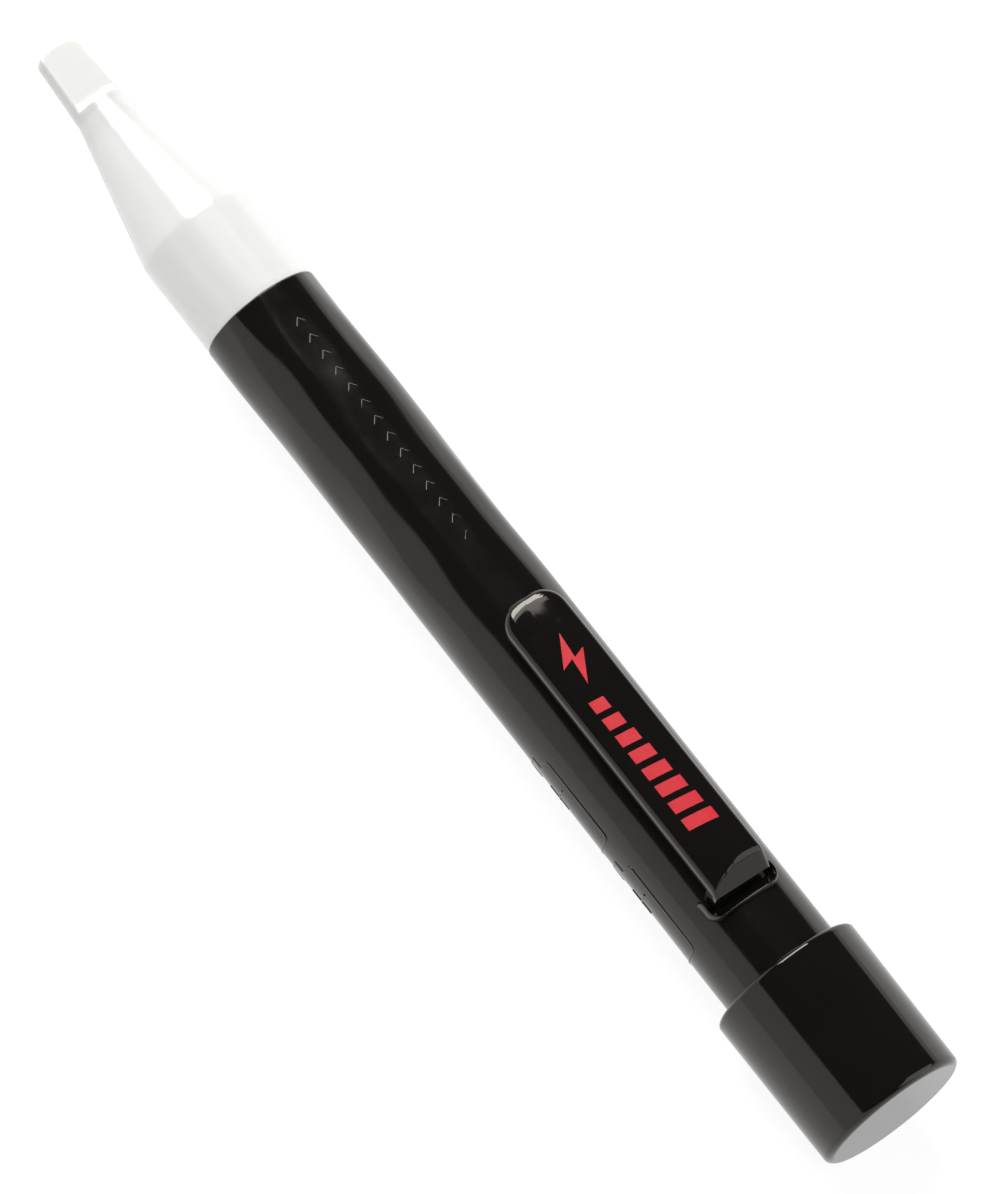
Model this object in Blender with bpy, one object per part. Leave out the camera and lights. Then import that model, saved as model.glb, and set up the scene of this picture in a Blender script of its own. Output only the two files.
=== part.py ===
"""Pen-shaped non-contact voltage tester with a pocket clip and a screw cap over two AAA cells.

The tester lies on its side: +X runs from the tip to the cap, +Z is up through the clip, and the origin is
on the surface that it lies on, under the middle of its length. Stations along the pen are measured from
the barrel's front face, and heights and radii from the pen's axis.
"""

import math

import bmesh
import bpy
from mathutils import Matrix, Vector

# Driving dimensions, in metres
GAP = 0.0003  # between neighbouring pieces
SEGMENTS = 32  # flats round the shells, four of them square to Y and Z
SMALL_SEGMENTS = 20  # flats round the inner pieces

TIP_LENGTH = 0.0427
TIP_CYLINDER = 0.0132
TIP_CONE = 0.0207
TIP_NECK_RADIUS = 0.00343
TIP_END_RADIUS = 0.0030
TIP_END_ARC = 0.0046
TIP_SPIGOT = 0.0080
TIP_SPIGOT_RADIUS = 0.0066
TIP_HOLLOW_RADIUS = 0.0057
BLADE_HALF_AT_STEP = 0.00195
BLADE_HALF_AT_END = 0.00120
BLADE_SLOT_HALF_WIDTH = 0.0019
BLADE_SLOT_HALF_HEIGHT = 0.00050
BLADE_CUT_REACH = 0.0060  # how far the cutters that make the flats reach from the axis

BARREL_RADIUS = 0.0080
BARREL_BORE = 0.0059
BARREL_FRONT_BORE = 0.0069
BARREL_SHOULDER = 0.1050  # station where the part under the cap starts
BARREL_END = 0.1175
TAIL_RADIUS = 0.0071
SEAL_GROOVE_RADIUS = 0.0069
SEAL_STATION = 0.1059
SEAL_RADIUS = 0.0076
SEAL_HALF_SECTION = 0.0004
COLLAR_RADIUS = 0.00775  # between the seal and the thread
EDGE_BREAK = 0.0002

CAP_FRONT = 0.1045
CAP_END = 0.1261
CAP_RADIUS = 0.01015
CAP_END_RADIUS = 0.01000
CAP_FRONT_ROUND = 0.00060
CAP_END_ROUND = 0.00095
CAP_BORE = 0.00835
CAP_CUP_BORE = 0.0077
CAP_FLOOR = 0.1235

THREAD_LEAD = 0.0030
THREAD_START = 0.1080
THREAD_TURNS = 2.75
THREAD_CREST_RADIUS = 0.0079
CAP_THREAD_TURNS = 1.25
CAP_THREAD_CREST_RADIUS = 0.00745
THREAD_CREST_WIDTH = 0.0008
THREAD_BASE_WIDTH = 0.0014
THREAD_BURIED = 0.0003

CLIP_NOSE = 0.0505
CLIP_ROOT = 0.0944
CLIP_HALF_WIDTH = 0.0041
CLIP_BEAD_HALF_WIDTH = 0.00425
CLIP_TOP = 0.0122
CLIP_EDGE_TOP = 0.0114  # where the crown meets the side
CLIP_UNDERSIDE = 0.0096
CLIP_BUMP_BOTTOM = 0.00835
CLIP_FOOT_BOTTOM = 0.0076
CLIP_PIVOT = (0.0928, 0.0085)  # station and height of the line that the clip flexes about

SOCKET_FRONT = 0.0920
SOCKET_REAR = 0.0964
SOCKET_HALF_WIDTH = 0.0051
SOCKET_TOP = 0.0089
POCKET_FRONT = 0.0904
POCKET_REAR = 0.0957
POCKET_HALF_WIDTH = 0.00455
POCKET_FLOOR = 0.0073

CELL_LENGTH = 0.0445
CELL_RADIUS = 0.0052
CELL_NUB_RADIUS = 0.0019
CELL_NUB = 0.0010
REAR_CELL_END = 0.1163

SPRING_WIRE_RADIUS = 0.00035
SPRING_TURNS = 4
SPRING_SMALL_RADIUS = 0.0030
SPRING_LARGE_RADIUS = 0.0048

CUP_RADIUS = 0.0073
CUP_SHEET = 0.0004
CUP_FRONT = 0.1184

BOARD_FRONT = -0.0160
BOARD_REAR = 0.0235
BOARD_HALF_WIDTH = 0.0045
BOARD_HALF_THICKNESS = 0.0005

CARRIER_FRONT = 0.0220
CARRIER_REAR = 0.0260
CARRIER_RADIUS = 0.0055

STRIP_HALF_WIDTH = 0.0014
STRIP_TOP = -0.0058
STRIP_SHEET = 0.0003
STRIP_FRONT = 0.0195
STRIP_TAB_BOTTOM = -0.00715  # inside the cup's rim, and clear of the cap's thread as it unscrews

LED_RADIUS = 0.0015
LED_HEIGHT = 0.0023
LED_FRONT = -0.0215
LED_FLANGE = -0.0175
LED_FLANGE_THICKNESS = 0.0008
LED_FLANGE_LIP = 0.0003
LEAD_RADIUS = 0.00025
LEAD_OFFSET = 0.0008
LEAD_BEND_STATION = -0.0135
LEAD_BEND_RADIUS = 0.0008

BUZZER_STATION = 0.0155
BUZZER_RADIUS = 0.0037
BUZZER_TOP = 0.0036
CAPACITOR_STATION = 0.0050
CAPACITOR_RADIUS = 0.0020
CAPACITOR_BOTTOM = -0.0042
CHIP_STATION = 0.0010
CHIP_SIZE = (0.0049, 0.0039, 0.0014)
TRANSISTOR_STATION = -0.0040
TRANSISTOR_SIZE = (0.0029, 0.0013, 0.0010)
LEG_HALF_WIDTH = 0.0002
LEG_REACH = 0.0008
LEG_HEIGHT = 0.0004
RESISTOR_STATIONS = (0.0085, 0.0115, 0.0145)
RESISTOR_LENGTH = 0.0016
RESISTOR_HALF_WIDTH = 0.0016
RESISTOR_HEIGHT = 0.0006

# Worked out from them
CAP_REST = CAP_RADIUS * math.cos(math.pi / SEGMENTS)  # from the axis to the flat that the cap lies on
LENGTH = TIP_LENGTH + CAP_END
AXIS = Vector((TIP_LENGTH - LENGTH / 2, 0, CAP_REST))  # the barrel's front end on the pen's axis
CONE_START = -TIP_CYLINDER
STEP_STATION = -(TIP_CYLINDER + TIP_CONE)
COMPONENT_FLOOR = BOARD_HALF_THICKNESS + GAP
TIP_RADIUS = BARREL_RADIUS - 0.00005
THREAD_HALF_PITCH = THREAD_LEAD / 2
CUP_FLOOR_FRONT = CAP_FLOOR - GAP - CUP_SHEET


def make_material(name, colour, roughness, metallic=0.0):
    material = bpy.data.materials.new(name)
    material.use_nodes = True
    shader = material.node_tree.nodes["Principled BSDF"]
    shader.inputs["Base Color"].default_value = (*colour, 1.0)
    shader.inputs["Roughness"].default_value = roughness
    shader.inputs["Metallic"].default_value = metallic
    return material


def add_empty(name, place, parent=None):
    empty = bpy.data.objects.new(name, None)
    empty.location = place
    empty.parent = parent
    bpy.context.scene.collection.objects.link(empty)
    return empty


def add_piece(name, bm, material, parent):
    """A named object from a bmesh, with its faces pointing out and round faces shaded smooth."""
    bmesh.ops.recalc_face_normals(bm, faces=bm.faces)
    mesh = bpy.data.meshes.new(name)
    bm.to_mesh(mesh)
    bm.free()
    mesh.shade_smooth()
    mesh.set_sharp_from_angle(angle=math.radians(30))
    mesh.materials.append(material)
    piece = bpy.data.objects.new(name, mesh)
    piece.parent = parent
    bpy.context.scene.collection.objects.link(piece)
    return piece


def add_helper(target, name, bm, operation):
    """A hidden solid that is cut from the target, joined to it, or keeps only what both hold."""
    helper = add_piece(name, bm, target.data.materials[0], target.parent)
    helper.hide_render = True
    helper.display_type = "WIRE"
    boolean = target.modifiers.new(name, "BOOLEAN")
    boolean.operation = operation
    boolean.object = helper


def rounded(corners, steps=4):
    """Closed outline from (u, v, radius) corners: each corner that has a radius becomes an arc."""
    points = []
    for index, (u, v, radius) in enumerate(corners):
        corner = Vector((u, v))
        if not radius:
            points.append(corner)
            continue
        back = (Vector(corners[index - 1][:2]) - corner).normalized()
        ahead = (Vector(corners[(index + 1) % len(corners)][:2]) - corner).normalized()
        half_angle = back.angle(ahead) / 2
        centre = corner + (back + ahead).normalized() * radius / math.sin(half_angle)
        reach = radius / math.tan(half_angle)
        first = corner + back * reach - centre
        last = corner + ahead * reach - centre
        start = math.atan2(first.y, first.x)
        turn = math.remainder(math.atan2(last.y, last.x) - start, math.tau)
        for step in range(steps + 1):
            angle = start + turn * step / steps
            points.append(centre + radius * Vector((math.cos(angle), math.sin(angle))))
    return points


def bridge(bm, first, second):
    """Faces between two rings of vertices, where a ring of one vertex is a pole."""
    count = max(len(first), len(second))
    for index in range(count):
        following = (index + 1) % count
        if len(first) == 1:
            bm.faces.new((first[0], second[index], second[following]))
        elif len(second) == 1:
            bm.faces.new((first[following], first[index], second[0]))
        else:
            bm.faces.new((first[following], first[index], second[index], second[following]))


def turned(profile, segments=SEGMENTS):
    """Body turned about X from a closed (station, radius) outline. Two points on the axis close its ends."""
    bm = bmesh.new()
    rings = []
    for station, radius in profile:
        if radius < 1e-7:
            rings.append([bm.verts.new((station, 0, 0))])
            continue
        angles = [math.tau * (index + 0.5) / segments for index in range(segments)]
        rings.append([bm.verts.new((station, radius * math.cos(a), radius * math.sin(a))) for a in angles])
    for first, second in zip(rings, rings[1:]):
        bridge(bm, first, second)
    if len(rings[0]) > 1:
        bridge(bm, rings[-1], rings[0])
    return bm


def prism(outline, place):
    """Solid between two copies of an outline. place(u, v, side) gives a point, with side 0 or 1."""
    bm = bmesh.new()
    ends = [[bm.verts.new(place(u, v, side)) for u, v in outline] for side in (0, 1)]
    bridge(bm, *ends)
    bm.faces.new(ends[0])
    bm.faces.new(reversed(ends[1]))
    return bm


def block(low, high):
    bm = bmesh.new()
    low, high = Vector(low), Vector(high)
    bmesh.ops.create_cube(bm, size=1, matrix=Matrix.LocRotScale((low + high) / 2, None, high - low))
    return bm


def swept(sections):
    """Solid through a row of equal closed sections, with flat ends."""
    bm = bmesh.new()
    rings = [[bm.verts.new(point) for point in section] for section in sections]
    for first, second in zip(rings, rings[1:]):
        bridge(bm, first, second)
    bm.faces.new(rings[0])
    bm.faces.new(reversed(rings[-1]))
    return bm


def wire(path, radius, sides):
    """Round wire through the points of a path."""
    sections = []
    for index, point in enumerate(path):
        before = path[max(index - 1, 0)]
        after = path[min(index + 1, len(path) - 1)]
        turn = Vector((1, 0, 0)).rotation_difference(after - before)
        corners = [math.tau * side / sides for side in range(sides)]
        ring = [turn @ Vector((0, radius * math.cos(a), radius * math.sin(a))) for a in corners]
        sections.append([point + corner for corner in ring])
    return swept(sections)


def thread_ridge(start, turns, crest_radius, root_radius):
    """Right-hand helical ridge of trapezoid section, from a crest radius to a root buried in the wall."""
    sections = []
    for step in range(round(turns * SEGMENTS) + 1):
        angle = math.tau * (step + 0.5) / SEGMENTS
        centre = start + THREAD_LEAD * angle / math.tau
        section = []
        for offset, radius in (
            (-THREAD_BASE_WIDTH / 2, root_radius),
            (-THREAD_CREST_WIDTH / 2, crest_radius),
            (THREAD_CREST_WIDTH / 2, crest_radius),
            (THREAD_BASE_WIDTH / 2, root_radius),
        ):
            section.append((centre + offset, radius * math.cos(angle), radius * math.sin(angle)))
        sections.append(section)
    return swept(sections)


def make_sensor_tip(material, parent):
    """Cone and spigot turned in one piece, with two flats that make the blade and a slot for the antenna."""
    end_station = -TIP_LENGTH
    profile = []
    for radius in (0, 0.3 * TIP_END_RADIUS, 0.6 * TIP_END_RADIUS, 0.85 * TIP_END_RADIUS):
        drop = TIP_END_ARC - math.sqrt(TIP_END_ARC**2 - radius**2)
        profile.append((end_station + drop, radius))
    profile += [
        (end_station + 0.0014, TIP_END_RADIUS),
        (STEP_STATION, TIP_NECK_RADIUS),
        (CONE_START, TIP_RADIUS),
        (-GAP, TIP_RADIUS),
        (-GAP, TIP_SPIGOT_RADIUS),
        (TIP_SPIGOT, TIP_SPIGOT_RADIUS),
        (TIP_SPIGOT, TIP_HOLLOW_RADIUS),
        (CONE_START - 0.001, TIP_HOLLOW_RADIUS),
        (STEP_STATION + 0.0020, 0.0017),
        (STEP_STATION + 0.0012, 0),
    ]
    tip = add_piece("sensor_tip", turned(profile), material, parent)
    for side, name in ((1, "tip_upper_flat"), (-1, "tip_lower_flat")):
        outline = [
            (STEP_STATION, side * BLADE_HALF_AT_STEP),
            (end_station, side * BLADE_HALF_AT_END),
            (end_station - 0.002, side * BLADE_HALF_AT_END),
            (end_station - 0.002, side * BLADE_CUT_REACH),
            (STEP_STATION, side * BLADE_CUT_REACH),
        ]
        flat = prism(outline, lambda u, v, end: (u, BLADE_CUT_REACH * (1 - 2 * end), v))
        add_helper(tip, name, flat, "DIFFERENCE")
    slot = block(
        (end_station + 0.0016, -BLADE_SLOT_HALF_WIDTH, -BLADE_SLOT_HALF_HEIGHT),
        (STEP_STATION + 0.0030, BLADE_SLOT_HALF_WIDTH, BLADE_SLOT_HALF_HEIGHT),
    )
    add_helper(tip, "antenna_slot", slot, "DIFFERENCE")
    return tip


def make_barrel(material, parent):
    """Tube with a seal groove and a threaded tail, the clip's raised socket, and a groove for the strip."""
    profile = rounded(
        [
            (0, BARREL_RADIUS, 0),
            (BARREL_SHOULDER, BARREL_RADIUS, EDGE_BREAK),
            (BARREL_SHOULDER + EDGE_BREAK, SEAL_GROOVE_RADIUS, 0),
            (SEAL_STATION + 0.0008, SEAL_GROOVE_RADIUS, 0),
            (SEAL_STATION + 0.0008, COLLAR_RADIUS, 0),
            (SEAL_STATION + 0.0013, COLLAR_RADIUS, 0),
            (SEAL_STATION + 0.0017, TAIL_RADIUS, 0),
            (BARREL_END - 0.0004, TAIL_RADIUS, 0),
            (BARREL_END, TAIL_RADIUS - 0.0003, 0),
            (BARREL_END, BARREL_BORE, 0),
            (TIP_SPIGOT + 0.0010, BARREL_BORE, 0),
            (TIP_SPIGOT + 0.0010, BARREL_FRONT_BORE, 0),
            (0, BARREL_FRONT_BORE, 0),
        ],
        steps=2,
    )
    barrel = add_piece("barrel", turned(profile), material, parent)
    ridge = thread_ridge(THREAD_START, THREAD_TURNS, THREAD_CREST_RADIUS, TAIL_RADIUS - THREAD_BURIED)
    add_helper(barrel, "barrel_thread", ridge, "UNION")
    socket = rounded(
        [
            (SOCKET_FRONT, -SOCKET_HALF_WIDTH, 0.0006),
            (SOCKET_REAR, -SOCKET_HALF_WIDTH, 0.0018),
            (SOCKET_REAR, SOCKET_HALF_WIDTH, 0.0018),
            (SOCKET_FRONT, SOCKET_HALF_WIDTH, 0.0006),
        ]
    )
    socket_heights = (BARREL_BORE + 0.0001, SOCKET_TOP)
    socket_body = prism(socket, lambda u, v, end: (u, v, socket_heights[end]))
    add_helper(barrel, "clip_socket", socket_body, "UNION")
    pocket = rounded(
        [
            (POCKET_FRONT, -POCKET_HALF_WIDTH, 0),
            (POCKET_REAR, -POCKET_HALF_WIDTH, 0.0012),
            (POCKET_REAR, POCKET_HALF_WIDTH, 0.0012),
            (POCKET_FRONT, POCKET_HALF_WIDTH, 0),
        ]
    )
    pocket_heights = (POCKET_FLOOR, SOCKET_TOP + 0.002)
    pocket_body = prism(pocket, lambda u, v, end: (u, v, pocket_heights[end]))
    add_helper(barrel, "clip_pocket", pocket_body, "DIFFERENCE")
    groove = block(
        (STRIP_FRONT - 0.0005, -STRIP_HALF_WIDTH - GAP, STRIP_TOP - STRIP_SHEET - GAP - 0.00005),
        (BARREL_END + 0.001, STRIP_HALF_WIDTH + GAP, -0.0050),
    )
    add_helper(barrel, "strip_groove", groove, "DIFFERENCE")
    return barrel


def make_end_cap(material, parent):
    profile = rounded(
        [
            (CAP_FLOOR, 0, 0),
            (CAP_FLOOR, CAP_CUP_BORE, 0),
            (CUP_FRONT - GAP, CAP_CUP_BORE, 0),
            (CUP_FRONT - GAP, CAP_BORE, 0),
            (CAP_FRONT, CAP_BORE, 0),
            (CAP_FRONT, CAP_RADIUS, CAP_FRONT_ROUND),
            (CAP_END, CAP_END_RADIUS, CAP_END_ROUND),
            (CAP_END, 0, 0),
        ]
    )
    cap = add_piece("end_cap", turned(profile), material, parent)
    ridge = thread_ridge(
        THREAD_START + THREAD_HALF_PITCH, CAP_THREAD_TURNS, CAP_THREAD_CREST_RADIUS, CAP_BORE + THREAD_BURIED
    )
    add_helper(cap, "cap_thread", ridge, "UNION")
    return cap


def make_seal_ring(material, parent):
    """O-ring in the barrel's groove."""
    profile = []
    for step in range(8):
        angle = math.tau * step / 8
        station = SEAL_STATION + SEAL_HALF_SECTION * math.cos(angle)
        profile.append(Vector((station, SEAL_RADIUS + SEAL_HALF_SECTION * math.sin(angle))))
    return add_piece("seal_ring", turned(profile), material, parent)


def make_pocket_clip(material, parent):
    """Crowned strip with a rounded nose, a bump under it, and a foot that drops into the socket."""
    pivot_station, pivot_height = CLIP_PIVOT
    crown_rise = CLIP_TOP - CLIP_EDGE_TOP
    crown_radius = (CLIP_HALF_WIDTH**2 + crown_rise**2) / (2 * crown_rise)
    crown = []
    for step in range(9):
        across = CLIP_HALF_WIDTH * (1 - step / 4)
        crown.append((across, CLIP_TOP - crown_radius + math.sqrt(crown_radius**2 - across**2)))
    bead_top = CLIP_UNDERSIDE + 0.0005
    section = [
        (-CLIP_HALF_WIDTH, bead_top + 0.0001),
        (-CLIP_BEAD_HALF_WIDTH, bead_top),
        (-CLIP_BEAD_HALF_WIDTH, CLIP_FOOT_BOTTOM - 0.001),
        (CLIP_BEAD_HALF_WIDTH, CLIP_FOOT_BOTTOM - 0.001),
        (CLIP_BEAD_HALF_WIDTH, bead_top),
        (CLIP_HALF_WIDTH, bead_top + 0.0001),
        *crown,
    ]
    ends = (CLIP_NOSE - 0.001 - pivot_station, CLIP_ROOT + 0.001 - pivot_station)
    strip = prism(section, lambda u, v, end: (ends[end], u, v - pivot_height))
    clip = add_piece("pocket_clip", strip, material, parent)
    bump = CLIP_NOSE + 0.0036
    side = rounded(
        [
            (CLIP_NOSE, CLIP_TOP + 0.0002, 0.0017),
            (CLIP_NOSE, CLIP_UNDERSIDE, 0.0004),
            (bump - 0.0016, CLIP_UNDERSIDE, 0),
            (bump - 0.0006, CLIP_BUMP_BOTTOM, 0),
            (bump + 0.0006, CLIP_BUMP_BOTTOM, 0),
            (bump + 0.0016, CLIP_UNDERSIDE, 0),
            (POCKET_FRONT + 0.0004, CLIP_UNDERSIDE, 0.0008),
            (POCKET_FRONT + 0.0004, CLIP_FOOT_BOTTOM, 0),
            (CLIP_ROOT, CLIP_FOOT_BOTTOM, 0),
            (CLIP_ROOT, CLIP_UNDERSIDE, 0.0004),
            (CLIP_ROOT - 0.0024, CLIP_TOP + 0.0002, 0.0006),
        ]
    )
    reach = 0.008
    across = (reach, -reach)
    side_body = prism(side, lambda u, v, end: (u - pivot_station, across[end], v - pivot_height))
    add_helper(clip, "clip_side_outline", side_body, "INTERSECT")
    plan = rounded(
        [
            (CLIP_NOSE, -CLIP_BEAD_HALF_WIDTH, 0.0031),
            (CLIP_ROOT + 0.002, -CLIP_BEAD_HALF_WIDTH, 0),
            (CLIP_ROOT + 0.002, CLIP_BEAD_HALF_WIDTH, 0),
            (CLIP_NOSE, CLIP_BEAD_HALF_WIDTH, 0.0031),
        ],
        steps=6,
    )
    plan_body = prism(plan, lambda u, v, end: (u - pivot_station, v, reach * (2 * end - 1)))
    add_helper(clip, "clip_plan_outline", plan_body, "INTERSECT")
    return clip


def make_cell(name, end_station, material, parent):
    """AAA cell with its positive nub towards the tip."""
    nub_end = end_station - CELL_LENGTH
    shoulder = nub_end + CELL_NUB
    profile = [
        (nub_end, 0),
        (nub_end, CELL_NUB_RADIUS - 0.0002),
        (nub_end + 0.0002, CELL_NUB_RADIUS),
        (shoulder, CELL_NUB_RADIUS),
        (shoulder, CELL_RADIUS - 0.0010),
        (shoulder + 0.0003, CELL_RADIUS - 0.0007),
        (shoulder + 0.0005, CELL_RADIUS),
        (end_station - 0.0003, CELL_RADIUS),
        (end_station, CELL_RADIUS - 0.0004),
        (end_station, 0),
    ]
    return add_piece(name, turned(profile, 24), material, parent)


def make_battery_spring(material, parent):
    """Conical spring, small end on the cell and large end in the cup."""
    clear = GAP + SPRING_WIRE_RADIUS
    front = REAR_CELL_END + clear
    rear = CUP_FLOOR_FRONT - clear
    per_turn = 18
    path = []
    for step in range(SPRING_TURNS * per_turn + 1):
        share = step / (SPRING_TURNS * per_turn)
        angle = math.tau * step / per_turn
        radius = SPRING_SMALL_RADIUS + (SPRING_LARGE_RADIUS - SPRING_SMALL_RADIUS) * share
        station = front + (rear - front) * share
        path.append(Vector((station, radius * math.cos(angle), radius * math.sin(angle))))
    return add_piece("battery_spring", wire(path, SPRING_WIRE_RADIUS, 6), material, parent)


def make_spring_contact_cup(material, parent):
    floor_rear = CUP_FLOOR_FRONT + CUP_SHEET
    profile = [
        (floor_rear, 0),
        (floor_rear, CUP_RADIUS),
        (CUP_FRONT, CUP_RADIUS),
        (CUP_FRONT, CUP_RADIUS - CUP_SHEET),
        (CUP_FLOOR_FRONT, CUP_RADIUS - CUP_SHEET),
        (CUP_FLOOR_FRONT, 0),
    ]
    return add_piece("spring_contact_cup", turned(profile), material, parent)


def make_ground_strip(material, parent):
    """Flat strip along the bore, turned out over the tail and up to the board."""
    bottom = STRIP_TOP - STRIP_SHEET
    tab_station = BARREL_END + GAP
    outline = [
        (STRIP_FRONT, -COMPONENT_FLOOR),
        (STRIP_FRONT, bottom),
        (tab_station, bottom),
        (tab_station, STRIP_TAB_BOTTOM),
        (tab_station + STRIP_SHEET, STRIP_TAB_BOTTOM),
        (tab_station + STRIP_SHEET, STRIP_TOP),
        (STRIP_FRONT + STRIP_SHEET, STRIP_TOP),
        (STRIP_FRONT + STRIP_SHEET, -COMPONENT_FLOOR),
    ]
    sides = (STRIP_HALF_WIDTH, -STRIP_HALF_WIDTH)
    strip = prism(outline, lambda u, v, end: (u, sides[end], v))
    return add_piece("ground_strip", strip, material, parent)


def make_positive_contact(material, parent):
    """Disc that the front cell presses on, with a stem to the board."""
    disc_front = CARRIER_REAR + GAP
    profile = [
        (BOARD_REAR + GAP, 0),
        (BOARD_REAR + GAP, 0.0006),
        (disc_front, 0.0006),
        (disc_front, 0.0035),
        (disc_front + 0.0003, 0.0035),
        (disc_front + 0.0003, 0),
    ]
    return add_piece("positive_contact", turned(profile, SMALL_SEGMENTS), material, parent)


def make_contact_carrier(material, parent):
    """Plug with a slot for the rear end of the board and a hole for the contact's stem."""
    profile = [
        (CARRIER_FRONT, 0.0010),
        (CARRIER_FRONT, CARRIER_RADIUS),
        (CARRIER_REAR, CARRIER_RADIUS),
        (CARRIER_REAR, 0.0010),
    ]
    carrier = add_piece("contact_carrier", turned(profile), material, parent)
    slot = block(
        (CARRIER_FRONT - 0.001, -BOARD_HALF_WIDTH - GAP, -COMPONENT_FLOOR),
        (BOARD_REAR + GAP, BOARD_HALF_WIDTH + GAP, COMPONENT_FLOOR),
    )
    add_helper(carrier, "board_slot", slot, "DIFFERENCE")
    return carrier


def make_circuit_board(material, parent):
    outline = [
        (BOARD_FRONT, -0.0030),
        (BOARD_FRONT + 0.0040, -BOARD_HALF_WIDTH),
        (BOARD_REAR, -BOARD_HALF_WIDTH),
        (BOARD_REAR, BOARD_HALF_WIDTH),
        (BOARD_FRONT + 0.0040, BOARD_HALF_WIDTH),
        (BOARD_FRONT, 0.0030),
    ]
    heights = (-BOARD_HALF_THICKNESS, BOARD_HALF_THICKNESS)
    board = prism(outline, lambda u, v, end: (u, v, heights[end]))
    return add_piece("circuit_board", board, material, parent)


def make_sensor_antenna(material, parent):
    """Brass strip in the blade, wider at the board."""
    blade_end = -TIP_LENGTH + 0.0019
    outline = [
        (blade_end, -0.0010),
        (STEP_STATION + 0.0033, -0.0015),
        (BOARD_FRONT - GAP, -0.0025),
        (BOARD_FRONT - GAP, 0.0025),
        (STEP_STATION + 0.0033, 0.0015),
        (blade_end, 0.0010),
    ]
    heights = (-STRIP_SHEET / 2, STRIP_SHEET / 2)
    antenna = prism(outline, lambda u, v, end: (u, v, heights[end]))
    return add_piece("sensor_antenna", antenna, material, parent)


def make_tip_led(material, parent):
    """Domed lamp facing the tip, with its flange at the back."""
    dome_centre = LED_FRONT + LED_RADIUS
    profile = [(LED_FRONT, 0)]
    for step in range(1, 5):
        angle = math.pi / 2 * step / 4
        profile.append((dome_centre - LED_RADIUS * math.cos(angle), LED_RADIUS * math.sin(angle)))
    profile += [
        (LED_FLANGE, LED_RADIUS),
        (LED_FLANGE, LED_RADIUS + LED_FLANGE_LIP),
        (LED_FLANGE + LED_FLANGE_THICKNESS, LED_RADIUS + LED_FLANGE_LIP),
        (LED_FLANGE + LED_FLANGE_THICKNESS, 0),
    ]
    bm = turned(profile, SMALL_SEGMENTS)
    bmesh.ops.translate(bm, verts=bm.verts, vec=(0, 0, LED_HEIGHT))
    return add_piece("tip_led", bm, material, parent)


def make_led_lead(name, across, material, parent):
    """Wire from the lamp, bent down to the board."""
    path = [Vector((LED_FLANGE + LED_FLANGE_THICKNESS + GAP, across, LED_HEIGHT))]
    for step in range(5):
        angle = math.pi / 2 * step / 4
        station = LEAD_BEND_STATION - LEAD_BEND_RADIUS * (1 - math.sin(angle))
        height = LED_HEIGHT - LEAD_BEND_RADIUS * (1 - math.cos(angle))
        path.append(Vector((station, across, height)))
    path.append(Vector((LEAD_BEND_STATION, across, COMPONENT_FLOOR)))
    return add_piece(name, wire(path, LEAD_RADIUS, 8), material, parent)


def make_upright_can(name, station, radius, ends, material, parent):
    """Round component between two heights, the board's face first and then its chamfered free end."""
    chamfer = 0.0003
    seat, free = ends
    toward = math.copysign(1, free - seat)
    profile = [
        (seat, 0),
        (seat, radius),
        (free - toward * chamfer, radius),
        (free, radius - chamfer),
        (free, 0),
    ]
    bm = turned(profile, SMALL_SEGMENTS)
    upright = Matrix.Translation((station, 0, 0)) @ Matrix.Rotation(-math.pi / 2, 4, "Y")
    bmesh.ops.transform(bm, matrix=upright, verts=bm.verts)
    return add_piece(name, bm, material, parent)


def make_chip(name, station, size, legs, material, parent):
    """Moulded package with a row of flat legs on each side."""
    length, width, height = size
    floor = COMPONENT_FLOOR
    bm = block((station, -width / 2, floor + 0.0001), (station + length, width / 2, floor + height))
    bmesh.ops.bevel(bm, geom=bm.edges[:], offset=0.00015, segments=1, affect="EDGES")
    chip = add_piece(name, bm, material, parent)
    pitch = length / legs
    for index in range(legs):
        middle = station + pitch * (index + 0.5)
        low = (middle - LEG_HALF_WIDTH, -width / 2 - LEG_REACH, floor)
        high = (middle + LEG_HALF_WIDTH, width / 2 + LEG_REACH, floor + LEG_HEIGHT)
        add_helper(chip, f"{name}_legs_{index + 1}", block(low, high), "UNION")
    return chip


def make_resistor(name, station, material, parent):
    """Chip resistor on the underside of the board."""
    low = (station, -RESISTOR_HALF_WIDTH, -COMPONENT_FLOOR - RESISTOR_HEIGHT)
    high = (station + RESISTOR_LENGTH, RESISTOR_HALF_WIDTH, -COMPONENT_FLOOR)
    bm = block(low, high)
    bmesh.ops.bevel(bm, geom=bm.edges[:], offset=0.0001, segments=1, affect="EDGES")
    return add_piece(name, bm, material, parent)


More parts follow.
